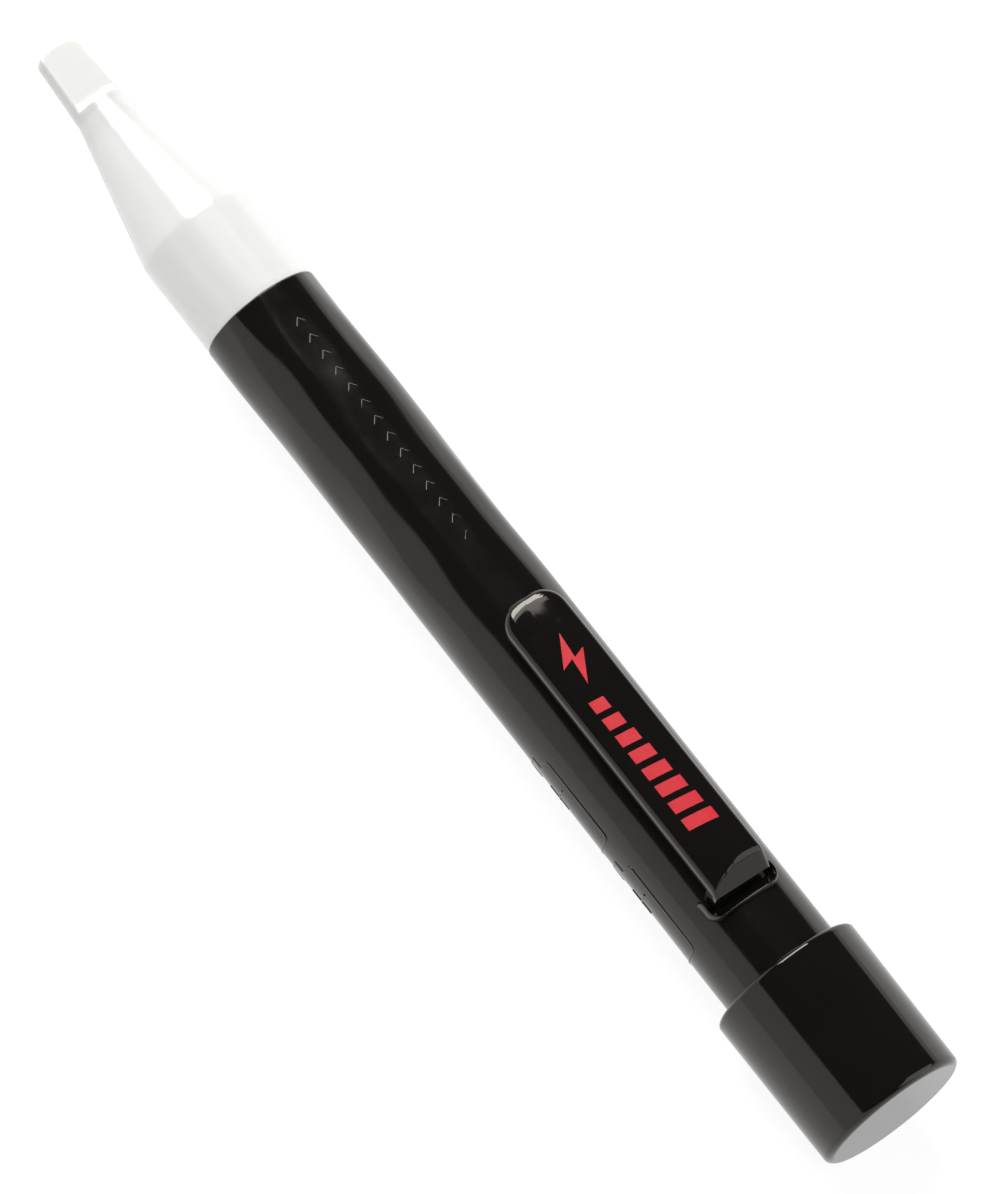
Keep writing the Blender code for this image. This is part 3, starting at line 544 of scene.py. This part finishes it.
def inset(distance, across):  # how far a point of the plan is from the outline
    half, corner = clip["half"], clip["corner"]
    fromSide = half - abs(across)
    if distance < corner and abs(across) > half - corner:
        return corner - math.hypot(corner - distance, abs(across) - (half - corner))
    return min(distance, fromSide)


def softMin(first, second, soft):
    share = max(soft - abs(first - second), 0) / soft
    return min(first, second) - share * share * soft / 4


def clipTop(station, across):
    distance = station - clip["nose"]
    depth = max(inset(distance, across), 0)
    noseShare = min(max((clip["corner"] + clip["noseFade"] / 2 - distance) / clip["noseFade"], 0), 1)
    height = clip["top"] - across ** 2 / (2 * clip["crown"]) * (1 - clip["noseFlat"] * noseShare)
    slope = clip["slope"] + clip["slopeMore"] * (1 + math.tanh((across - clip["creaseAcross"]) / 0.5))
    height -= slope * max(1 - distance / clip["slopeRun"], 0) ** 2
    height -= clip["noseDrop"] * max(1 - depth / clip["noseRun"], 0) ** 2 * noseShare
    along = min(max((distance - 0.5) / 0.6, 0), 1) * max(1 - distance / clip["creaseRun"], 0)
    height -= clip["crease"] * along * math.exp(-(((across - clip["creaseAcross"]) / clip["creaseWidth"]) ** 2))
    ramp = clip["top"] - (station - clip["rampFront"] + clip["rampSkew"] * across) * clip["rampSlope"]
    height = softMin(height, ramp, clip["rampSoft"])
    share = max(1 - depth / clip["edge"], 0)
    height -= clip["edge"] * (1 - math.sqrt(max(1 - share ** 2, 0)))
    return min(height, clip["wallTop"]) if depth < 0.005 else height


def clipUnderside(station, across):
    depth = max(inset(station - clip["nose"], across), 0)
    height = clip["underside"] + clip["lip"] * (1 - min(depth / clip["lipRun"], 1)) ** 2
    fromBump = max(abs(station - clip["bump"]) - clip["bumpFlat"], 0)
    if fromBump < clip["bumpRun"]:
        drop = (clip["underside"] - clip["bumpBottom"]) * (0.5 + 0.5 * math.cos(math.pi * fromBump / clip["bumpRun"]))
        height -= drop * min(depth / clip["bumpEdge"], 1)
    if station > clip["footFront"]:
        height = min(clip["footBottom"], math.sqrt(barrel["radius"] ** 2 - across ** 2) + clip["footGap"])
    return height


def makePocketClip():
    half, corner, nose = clip["half"], clip["corner"], clip["nose"]
    flat = half - corner
    toFoot = clip["footFront"] - nose
    distances = [d for d in levels if d <= corner]
    distance = corner
    while distance < toFoot - 0.4:  # short steps over the bump, the nose and the ramp, longer ones between
        distance += 0.2 if distance < 6 else 0.4 if distance < 8 or distance > 36 else 0.8
        distances.append(distance)
    distances += [toFoot, toFoot + 0.01]
    distances = sorted(d for d in distances if d < toFoot + 0.02)
    station = clip["footFront"] + 0.3
    while station < clip["root"] - 0.02:
        distances.append(station - nose)
        station += 0.12
    distances.append(clip["root"] - nose)
    rows = []
    for distance in distances:
        acrosses = []
        for level in levels:
            if distance >= corner:
                acrosses.append(half - level)
            elif level < distance:
                acrosses.append(flat + math.sqrt(max((corner - level) ** 2 - (corner - distance) ** 2, 0)))
            else:
                acrosses.append(flat * (1 - (level - distance) / (half - distance)))
        rows.append((nose + distance, [-a for a in acrosses] + acrosses[-2::-1]))
    bm = bmesh.new()
    top = [[bm.verts.new(place(s, a, clipTop(s, a))) for a in acrosses] for s, acrosses in rows]
    bottom = []
    for index, (s, acrosses) in enumerate(rows):
        row = [bm.verts.new(place(s, a, clipUnderside(s, a))) for a in acrosses[1:-1]] if index else []
        bottom.append([top[index][0], *row, top[index][-1]] if index else top[index])
    for grid in (top, bottom):
        for first, second in zip(grid, grid[1:]):
            for column in range(len(first) - 1):
                bm.faces.new((first[column], second[column], second[column + 1], first[column + 1]))
    for column in range(len(top[-1]) - 1):
        corners = (top[-1][column], top[-1][column + 1], bottom[-1][column + 1], bottom[-1][column])
        bm.faces.new(list(dict.fromkeys(corners)))
    bmesh.ops.dissolve_degenerate(bm, dist=1e-7, edges=bm.edges)
    return makePiece("pocketClip", bm, [blackAbs], "clip", ["pocket_clip"], 40)


makePocketClip()


# Red marks printed on the clip: a plain bolt and a rising row of bars

marks = {
    "boltStart": 56.8, "boltLength": 7.2, "boltHalf": 1.9, "barsStart": 66.0, "barPitch": 2.6, "barWidth": 1.7,
    "bars": 8, "lowest": 1.0, "highest": 2.05, "slant": 0.6, "shadeFade": 0.02, "slice": 0.35, "slices": 12,
}


def makePrintedMarks():
    s, length, half = marks["boltStart"], marks["boltLength"], marks["boltHalf"]
    bolt = [(0.00, 0.30), (0.58, -1.0), (0.50, -0.12), (1.00, -0.30), (0.42, 1.0), (0.50, 0.12)]
    outlines = [[(s + u * length, v * half) for u, v in bolt]]
    for index in range(marks["bars"]):
        start = marks["barsStart"] + index * marks["barPitch"]
        end = start + marks["barWidth"]
        reach = marks["lowest"] + (marks["highest"] - marks["lowest"]) * index / (marks["bars"] - 1)
        low, high = -marks["highest"], -marks["highest"] + 2 * reach
        lean = marks["slant"] * (high - low) / (2 * marks["highest"])
        outlines.append([(start, low), (end, low), (end + lean, high), (start + lean, high)])
    bm = bmesh.new()
    for outline in outlines:
        bm.faces.new([bm.verts.new((u, v, 0)) for u, v in outline])
    for step in range(-marks["slices"], marks["slices"] + 1):  # cut along the clip, so that the ink follows its crown
        everything = bm.verts[:] + bm.edges[:] + bm.faces[:]
        bmesh.ops.bisect_plane(bm, geom=everything, plane_co=(0, step * marks["slice"], 0), plane_no=(0, 1, 0))
    bmesh.ops.triangulate(bm, faces=bm.faces)
    sheet = bmesh.ops.extrude_face_region(bm, geom=bm.faces[:])
    raised = {item for item in sheet["geom"] if isinstance(item, bmesh.types.BMVert)}
    for vert in bm.verts:
        station, across = vert.co.x, vert.co.y
        lift = marks["shadeFade"] if vert in raised else -marks["shadeFade"]
        vert.co = place(station, across, clipTop(station, across) + lift)
    return makePiece("clipPrint", bm, [redInk], "clip", (), 40)


makePrintedMarks()


# Screw cap

cap = {
    "front": 104.5, "end": 126.1, "radius": 10.15, "endRadius": 10.0, "frontRound": 0.6, "endRound": 0.95,
    "bore": 8.35, "cupBore": 7.7, "boreEnd": 118.1, "floor": 123.5, "segments": 144, "spacing": 0.8,
    "skin": 9.9, "longRuns": 9.95, "sink": 0.012, "sinkLength": 16.0, "sinkSeed": 8.4,
}


def capSkin(station, radius, angle):
    if radius > cap["skin"]:
        radius += sinkMark(station, angle, cap["sink"], cap["sinkLength"], cap["sinkSeed"])
    return radius


def makeEndCap():
    corners = [
        (cap["floor"], 0, 0), (cap["floor"], cap["cupBore"], 0.4), (cap["boreEnd"], cap["cupBore"], 0.1),
        (cap["boreEnd"], cap["bore"], 0.1), (cap["front"], cap["bore"], 0.25),
        (cap["front"], cap["radius"], cap["frontRound"]), (cap["end"], cap["endRadius"], cap["endRound"]),
        (cap["end"], 0, 0),
    ]
    outline = spaced(filleted(corners, 9, guard), cap["spacing"], cap["longRuns"])
    bm = turned(outline, cap["segments"], capSkin)
    return makePiece("screwCap", bm, [blackAbs], "cap", ["end_cap"], 40)


makeEndCap()


# What follows a path: thread ridges, spring and raised lines, made with Geometry Nodes

numberKind, wholeKind = "NodeSocketFloat", "NodeSocketInt"


def newTree(name, numbers, withGeometry=False):  # a tree with named inputs
    tree = bpy.data.node_groups.new(name, "GeometryNodeTree")
    tree.interface.new_socket("Geometry", in_out="OUTPUT", socket_type="NodeSocketGeometry")
    if withGeometry:
        tree.interface.new_socket("Geometry", in_out="INPUT", socket_type="NodeSocketGeometry")
    for label, kind in numbers.items():
        tree.interface.new_socket(label, in_out="INPUT", socket_type=kind)
    return tree, addNode(tree, "NodeGroupInput"), addNode(tree, "NodeGroupOutput")


def sweepRound(tree, curve, radius, sides, material, output):  # ends a tree: a round section swept along its curve
    profile = addNode(tree, "GeometryNodeCurvePrimitiveCircle", {"Resolution": sides, "Radius": radius})
    swept = addNode(tree, "GeometryNodeCurveToMesh", {
        "Curve": curve, "Profile Curve": profile.outputs[0], "Fill Caps": True,
    })
    smooth = addNode(tree, "GeometryNodeSetShadeSmooth", {"Geometry": swept.outputs[0]})
    real = addNode(tree, "GeometryNodeRealizeInstances", {"Geometry": smooth.outputs[0]})
    painted = addNode(tree, "GeometryNodeSetMaterial", {"Geometry": real.outputs[0], "Material": material})
    tree.links.new(painted.outputs[0], output.inputs[0])


def runTree(name, tree, values, start=None):  # puts the tree on an object and keeps its result as a plain mesh
    holder = start or bpy.data.objects.new(name + "Start", bpy.data.meshes.new(name + "Start"))
    if not start:
        bpy.context.scene.collection.objects.link(holder)
    modifier = holder.modifiers.new(name, "NODES")
    modifier.node_group = tree
    for item in tree.interface.items_tree:
        if item.item_type == "SOCKET" and item.in_out == "INPUT" and item.name in values:
            modifier[item.identifier] = values[item.name]
    shown = bpy.context.evaluated_depsgraph_get()
    mesh = bpy.data.meshes.new_from_object(holder.evaluated_get(shown), depsgraph=shown)
    mesh.name = name
    holder.modifiers.clear()
    bpy.data.objects.remove(holder)
    piece = bpy.data.objects.new(name, mesh)
    bpy.context.scene.collection.objects.link(piece)
    return piece


def coilTree(name, material):
    # A helix about X with a round wire swept along it
    tree, given, output = newTree(name, {
        "Start": numberKind, "Length": numberKind, "Turns": numberKind, "Start Radius": numberKind,
        "End Radius": numberKind, "Height": numberKind, "Wire": numberKind, "Points": wholeKind,
    })
    line = addNode(tree, "GeometryNodeMeshLine", {"Count": given.outputs["Points"]})
    order = addNode(tree, "GeometryNodeInputIndex")
    last = addNode(tree, "ShaderNodeMath", {0: given.outputs["Points"], 1: 1.0}, operation="SUBTRACT")
    share = addNode(tree, "ShaderNodeMath", {0: order.outputs[0], 1: last.outputs[0]}, operation="DIVIDE")
    turns = addNode(tree, "ShaderNodeMath", {0: share.outputs[0], 1: given.outputs["Turns"]}, operation="MULTIPLY")
    angle = addNode(tree, "ShaderNodeMath", {0: turns.outputs[0], 1: math.tau}, operation="MULTIPLY")
    radius = addNode(tree, "ShaderNodeMix", {
        0: share.outputs[0], 2: given.outputs["Start Radius"], 3: given.outputs["End Radius"],
    }, data_type="FLOAT")
    cosine = addNode(tree, "ShaderNodeMath", {0: angle.outputs[0]}, operation="COSINE")
    sine = addNode(tree, "ShaderNodeMath", {0: angle.outputs[0]}, operation="SINE")
    across = addNode(tree, "ShaderNodeMath", {0: cosine.outputs[0], 1: radius.outputs[0]}, operation="MULTIPLY")
    up = addNode(tree, "ShaderNodeMath", {
        0: sine.outputs[0], 1: radius.outputs[0], 2: given.outputs["Height"],
    }, operation="MULTIPLY_ADD")
    along = addNode(tree, "ShaderNodeMath", {
        0: share.outputs[0], 1: given.outputs["Length"], 2: given.outputs["Start"],
    }, operation="MULTIPLY_ADD")
    spot = addNode(tree, "ShaderNodeCombineXYZ", {0: along.outputs[0], 1: across.outputs[0], 2: up.outputs[0]})
    moved = addNode(tree, "GeometryNodeSetPosition", {"Geometry": line.outputs[0], "Position": spot.outputs[0]})
    curve = addNode(tree, "GeometryNodeMeshToCurve", {"Mesh": moved.outputs[0]})
    sweepRound(tree, curve.outputs[0], given.outputs["Wire"], 12, material, output)
    return tree


def makeCoil(name, tree, start, length, turns, radii, wire, points):
    return runTree(name, tree, {
        "Start": barrelLow.x + start * mm, "Length": length * mm, "Turns": turns, "Start Radius": radii[0] * mm,
        "End Radius": radii[1] * mm, "Height": axisHeight, "Wire": wire * mm, "Points": points,
    })


spring = {
    "front": 116.95, "rear": 122.15, "turns": 4.0, "smallRadius": 3.0, "largeRadius": 4.8, "wire": 0.35, "points": 160,
}
thread = {
    "lead": 3.0, "start": 108.0, "turns": 2.75, "capTurns": 1.25, "root": 7.15, "capRoot": 8.35, "half": 0.62,
    "points": 200, "capPoints": 100,
}

springTree = coilTree("coilSpring", nickelPlate)
threadTree = coilTree("threadRidge", blackAbs)
coil = makeCoil("batterySpring", springTree, spring["front"], spring["rear"] - spring["front"], spring["turns"],
                (spring["smallRadius"], spring["largeRadius"]), spring["wire"], spring["points"])
settle(coil, "spring_unit", ["battery_spring"])
ridge = makeCoil("barrelThread", threadTree, thread["start"], thread["lead"] * thread["turns"], thread["turns"],
                 (thread["root"], thread["root"]), thread["half"], thread["points"])
settle(ridge, "barrel_unit")
ridge = makeCoil("capThread", threadTree, thread["start"] + thread["lead"] / 2, thread["lead"] * thread["capTurns"],
                 thread["capTurns"], (thread["capRoot"], thread["capRoot"]), thread["half"], thread["capPoints"])
settle(ridge, "cap")


# Raised lines on the barrel: two cell outlines that show how the cells go in, and a row of small arrows

lines = {
    "cells": ((66.7, 78.9), (83.0, 96.2)), "middleAngle": 190.0, "halfArc": 27.6, "corner": 0.7, "spacing": 0.5,
    "nub": 1.7, "nubArc": 12.0, "nubCorner": 0.2, "plus": 3.85, "plusHalf": 1.85, "plusArc": 17.0, "plusParts": 4,
    "sunk": 0.12, "bead": 0.24, "arrows": 14, "arrowFirst": 5.0, "arrowPitch": 2.6, "arrowBead": 0.165,
    "arrowAngle": 85.0, "arrowHalf": 5.0, "arrowRun": 0.9,
}


def onSkin(station, degrees):
    return onAxis(station, barrel["radius"] - lines["sunk"], math.radians(degrees))


def raisedLineTree():
    tree, given, output = newTree("raisedLines", {"Bead": numberKind}, withGeometry=True)
    curve = addNode(tree, "GeometryNodeMeshToCurve", {"Mesh": given.outputs["Geometry"]})
    sweepRound(tree, curve.outputs[0], given.outputs["Bead"], 8, handledAbs, output)
    return tree


def makeRaisedLines(name, paths, bead):
    bm = bmesh.new()
    for path, closed in paths:
        row = [bm.verts.new(point) for point in path]
        for first, second in zip(row, row[1:] + (row[:1] if closed else [])):
            if first is not second:
                bm.edges.new((first, second))
    mesh = bpy.data.meshes.new(name + "Paths")
    bm.to_mesh(mesh)
    bm.free()
    holder = bpy.data.objects.new(name + "Paths", mesh)
    bpy.context.scene.collection.objects.link(holder)
    piece = runTree(name, raisedLineTree(), {"Bead": bead * mm}, holder)
    return settle(piece, "barrel_unit")


def cellOutlines():
    paths = []
    middle, arc, nubArc = lines["middleAngle"], lines["halfArc"], lines["nubArc"]
    perDegree = math.radians(1) * barrel["radius"]
    for start, end in lines["cells"]:
        corners = [
            (start, -arc * perDegree, lines["corner"]), (end, -arc * perDegree, lines["corner"]),
            (end, arc * perDegree, lines["corner"]), (start, arc * perDegree, lines["corner"]),
            (start, nubArc * perDegree, 0.0), (start - lines["nub"], nubArc * perDegree, lines["nubCorner"]),
            (start - lines["nub"], -nubArc * perDegree, lines["nubCorner"]), (start, -nubArc * perDegree, 0.0),
        ]
        outline = spaced(filleted(corners, 5), lines["spacing"])
        paths.append(([onSkin(p.x, middle + p.y / perDegree) for p in outline], True))
        centre, half, across = start + lines["plus"], lines["plusHalf"], lines["plusArc"] * perDegree
        plus = [[(centre - half, 0), (centre + half, 0)], [(centre, -across), (centre, across)]]
        for first, last in plus:
            parts = lines["plusParts"]
            steps = [Vector(first).lerp(Vector(last), part / parts) for part in range(parts + 1)]
            paths.append(([onSkin(p.x, middle + p.y / perDegree) for p in steps], False))
    return paths


def arrowRow():
    paths = []
    for index in range(lines["arrows"]):
        point = lines["arrowFirst"] + index * lines["arrowPitch"]
        barb, angle = point + lines["arrowRun"], lines["arrowAngle"]
        spots = [(barb, angle - lines["arrowHalf"]), (point, angle), (barb, angle + lines["arrowHalf"])]
        paths.append(([onSkin(*spot) for spot in spots], False))
    return paths


makeRaisedLines("cellPictograms", cellOutlines(), lines["bead"])
makeRaisedLines("arrowRow", arrowRow(), lines["arrowBead"])


# Seal, spring cup and cells

seal = {"station": 105.9, "radius": 7.6, "half": 0.4, "sides": 16, "segments": 96}
cup = {"front": 118.4, "radius": 7.3, "sheet": 0.4, "floor": 122.8, "segments": 96}
cell = {
    "length": 44.5, "radius": 5.2, "nubRadius": 1.9, "nub": 1.0, "rearEnd": 116.3, "gap": 0.3, "bandLength": 9.0,
    "rim": 0.85, "segments": 72,
}


def makeSealRing():
    middle = Vector((seal["station"], seal["radius"]))
    outline = []
    for step in range(seal["sides"]):
        angle = math.tau * step / seal["sides"]
        outline.append(middle + seal["half"] * Vector((math.cos(angle), math.sin(angle))))
    bm = turned(outline, seal["segments"])
    return makePiece("sealRing", bm, [nitrileRubber], "barrel_unit", ["seal_ring"])


def makeSpringCup():
    inside, floorRear = cup["radius"] - cup["sheet"], cup["floor"] + cup["sheet"]
    corners = [
        (floorRear, 0, 0), (floorRear, cup["radius"], 0.6), (cup["front"], cup["radius"], 0.15),
        (cup["front"], inside, 0.15), (cup["floor"], inside, 0.25), (cup["floor"], 0, 0),
    ]
    bm = turned(filleted(corners), cup["segments"])
    return makePiece("springCup", bm, [nickelPlate], "spring_unit", ["spring_contact_cup"])


def makeCell(name, end, node):
    nubEnd = end - cell["length"]
    shoulder, radius = nubEnd + cell["nub"], cell["radius"]
    corners = [
        (nubEnd, 0, 0), (nubEnd, cell["nubRadius"], 0.25), (shoulder, cell["nubRadius"], 0.15),
        (shoulder, radius - 0.9, 0.1), (shoulder + 0.15, radius - 0.8, 0.05), (shoulder + 0.1, radius, 0.35),
        (shoulder + cell["bandLength"], radius, 0), (end, radius, 0.35), (end, radius - 0.9, 0.1),
        (end - 0.12, radius - 1.0, 0.05), (end - 0.12, 0, 0),
    ]
    bm = turned(filleted(corners, 4), cell["segments"])
    for face in bm.faces:
        spot = face.calc_center_median()
        station = (spot.x - barrelLow.x) / mm
        out = math.hypot(spot.y, spot.z - axisHeight) / mm
        if out > radius - cell["rim"]:
            face.material_index = 1 if station < shoulder + cell["bandLength"] else 2
    return makePiece(name, bm, [nickelPlate, sleeveBand, shrinkSleeve], "barrel_unit", [node])


makeSealRing()
makeSpringCup()
makeCell("rearCell", cell["rearEnd"], "rear_cell")
makeCell("frontCell", cell["rearEnd"] - cell["length"] - cell["gap"], "front_cell")


# The CAD pieces that stay, each in its own finish

finishes = {
    "circuit_board": maskGreen, "control_chip": mouldingResin, "amplifier_transistor": mouldingResin,
    "buzzer": mouldingResin, "contact_carrier": mouldingResin, "filter_capacitor": drawnAluminium,
    "resistor_1": glazedCeramic, "resistor_2": glazedCeramic, "resistor_3": glazedCeramic,
    "tip_led": redLens, "led_anode_lead": nickelPlate, "led_cathode_lead": nickelPlate,
    "positive_contact": nickelPlate, "ground_strip": rolledBrass, "sensor_antenna": rolledBrass,
}
for node, material in finishes.items():
    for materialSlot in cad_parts[node].material_slots:
        materialSlot.material = material
print("finishes set on", len(finishes), "CAD pieces")


# Floor, light and camera

stage = {"size": 40.0, "floor": "#7c7c7c", "floorTone": "#818181", "rough": 0.9, "tooth": 50.0, "glow": 0.91}
sky = {"bright": 0.86, "edge": 0.82, "dark": 0.055, "lean": 15.1, "half": 67.2, "soft": 0.02}
softboxes = {
    "key": {"tilt": 38.5, "across": 14.0, "distance": 2.5, "along": 1.02, "wide": 2.02, "radiance": 12.0},
    "skirt": {"tilt": 22.5, "across": 14.0, "distance": 2.5, "along": 0.36, "wide": 2.0, "radiance": 3.0},
    "fill": {"tilt": -30.0, "across": 50.0, "distance": 2.5, "along": 2.3, "wide": 2.3, "radiance": 1.3},
}
lens = {
    "focal": 383.0, "sensor": 36.0, "distance": 1.539, "turn": 12.9, "lift": 18.0, "roll": (0.6204, 0.7842),
    "aim": (0.0045, 0.0, 0.01015), "shiftAim": 0.00133, "near": 0.05, "far": 100.0,
}


def makeFloor():
    # A light table: a matt white sheet that glows, so that shadows on it are faint
    material, tree, shader, inMm = newMaterial("white light table", {
        "Roughness": stage["rough"], "Specular IOR Level": 0.1,
        "Emission Color": (1.0, 1.0, 1.0, 1.0), "Emission Strength": stage["glow"],
    })
    tooth = addNode(tree, "ShaderNodeTexNoise", {"Vector": inMm, "Scale": 1 / stage["tooth"], "Detail": 2.0})
    colour = addNode(tree, "ShaderNodeMix", {
        0: tooth.outputs["Fac"], 6: linear(stage["floor"]), 7: linear(stage["floorTone"]),
    }, data_type="RGBA")
    tree.links.new(colour.outputs[2], shader.inputs["Base Color"])
    mesh = bpy.data.meshes.new("floor")
    side = stage["size"] / 2
    corners = [(-side, -side, 0), (side, -side, 0), (side, side, 0), (-side, side, 0)]
    mesh.from_pydata(corners, [], [(0, 1, 2, 3)])
    mesh.materials.append(material)
    floor = bpy.data.objects.new("floor", mesh)
    bpy.context.scene.collection.objects.link(floor)


def makeSky():
    # A room with a dark ceiling over bright walls: the dark round patch leans a little across the pen
    world = bpy.data.worlds.new("studio")
    bpy.context.scene.world = world
    world.use_nodes = True
    tree = world.node_tree
    tree.nodes.clear()
    lean = math.radians(sky["lean"])
    heading = addNode(tree, "ShaderNodeTexCoord")
    toward = addNode(tree, "ShaderNodeVectorMath", {
        0: heading.outputs["Generated"], 1: (0.0, math.sin(lean), math.cos(lean)),
    }, operation="DOT_PRODUCT")
    rim = math.cos(math.radians(sky["half"]))
    ceiling = addNode(tree, "ShaderNodeMapRange", {
        "Value": toward.outputs["Value"], "From Min": rim - sky["soft"], "From Max": rim + sky["soft"],
    }, interpolation_type="SMOOTHSTEP")
    walls = addNode(tree, "ShaderNodeMapRange", {
        "Value": toward.outputs["Value"], "From Max": rim, "To Min": sky["bright"], "To Max": sky["edge"],
    })
    level = addNode(tree, "ShaderNodeMix", {
        0: ceiling.outputs[0], 2: walls.outputs[0], 3: sky["dark"],
    }, data_type="FLOAT")
    light = addNode(tree, "ShaderNodeBackground", {
        "Color": (1.0, 1.0, 1.0, 1.0), "Strength": level.outputs[0],
    })
    out = addNode(tree, "ShaderNodeOutputWorld")
    tree.links.new(light.outputs[0], out.inputs["Surface"])


def makeSoftboxes():
    # A softbox over the tip's end with a fainter skirt: the cone and the clip's nose mirror them, the tube doesn't
    for name, look in softboxes.items():
        lamp = bpy.data.lights.new(name, "AREA")
        lamp.shape = "RECTANGLE"
        lamp.size, lamp.size_y = look["along"], look["wide"]
        lamp.energy = look["radiance"] * math.pi * look["along"] * look["wide"]
        tilt, across = math.radians(look["tilt"]), math.radians(look["across"])
        back = Vector((-math.sin(tilt), math.cos(tilt) * math.sin(across), math.cos(tilt) * math.cos(across)))
        wide = Vector((0, math.cos(across), -math.sin(across)))
        facing = Matrix((wide.cross(back), wide, back)).transposed().to_4x4()
        softbox = bpy.data.objects.new(name, lamp)
        softbox.matrix_world = Matrix.Translation(back * look["distance"]) @ facing
        bpy.context.scene.collection.objects.link(softbox)


def makeCamera():
    turn, lift = math.radians(lens["turn"]), math.radians(lens["lift"])
    back = Vector((math.sin(turn), -math.cos(turn) * math.sin(lift), math.cos(turn) * math.cos(lift)))
    along = Vector((-math.cos(turn), -math.sin(turn) * math.sin(lift), math.sin(turn) * math.cos(lift)))
    side = Vector((0, math.cos(lift), math.sin(lift)))
    right = along * -lens["roll"][0] + side * lens["roll"][1]
    up = along * lens["roll"][1] + side * lens["roll"][0]
    settings = bpy.data.cameras.new("camera")
    settings.sensor_fit = "VERTICAL"
    settings.sensor_height = lens["sensor"]
    settings.lens = lens["focal"]
    settings.clip_start, settings.clip_end = lens["near"], lens["far"]
    camera = bpy.data.objects.new("camera", settings)
    spot = Vector(lens["aim"]) + side * lens["shiftAim"] + back * lens["distance"]
    camera.matrix_world = Matrix.Translation(spot) @ Matrix((right, up, back)).transposed().to_4x4()
    bpy.context.scene.collection.objects.link(camera)
    bpy.context.scene.camera = camera


makeFloor()
makeSky()
makeSoftboxes()
makeCamera()
bpy.context.scene.view_settings.view_transform = "Standard"
print("stage, light and camera set")
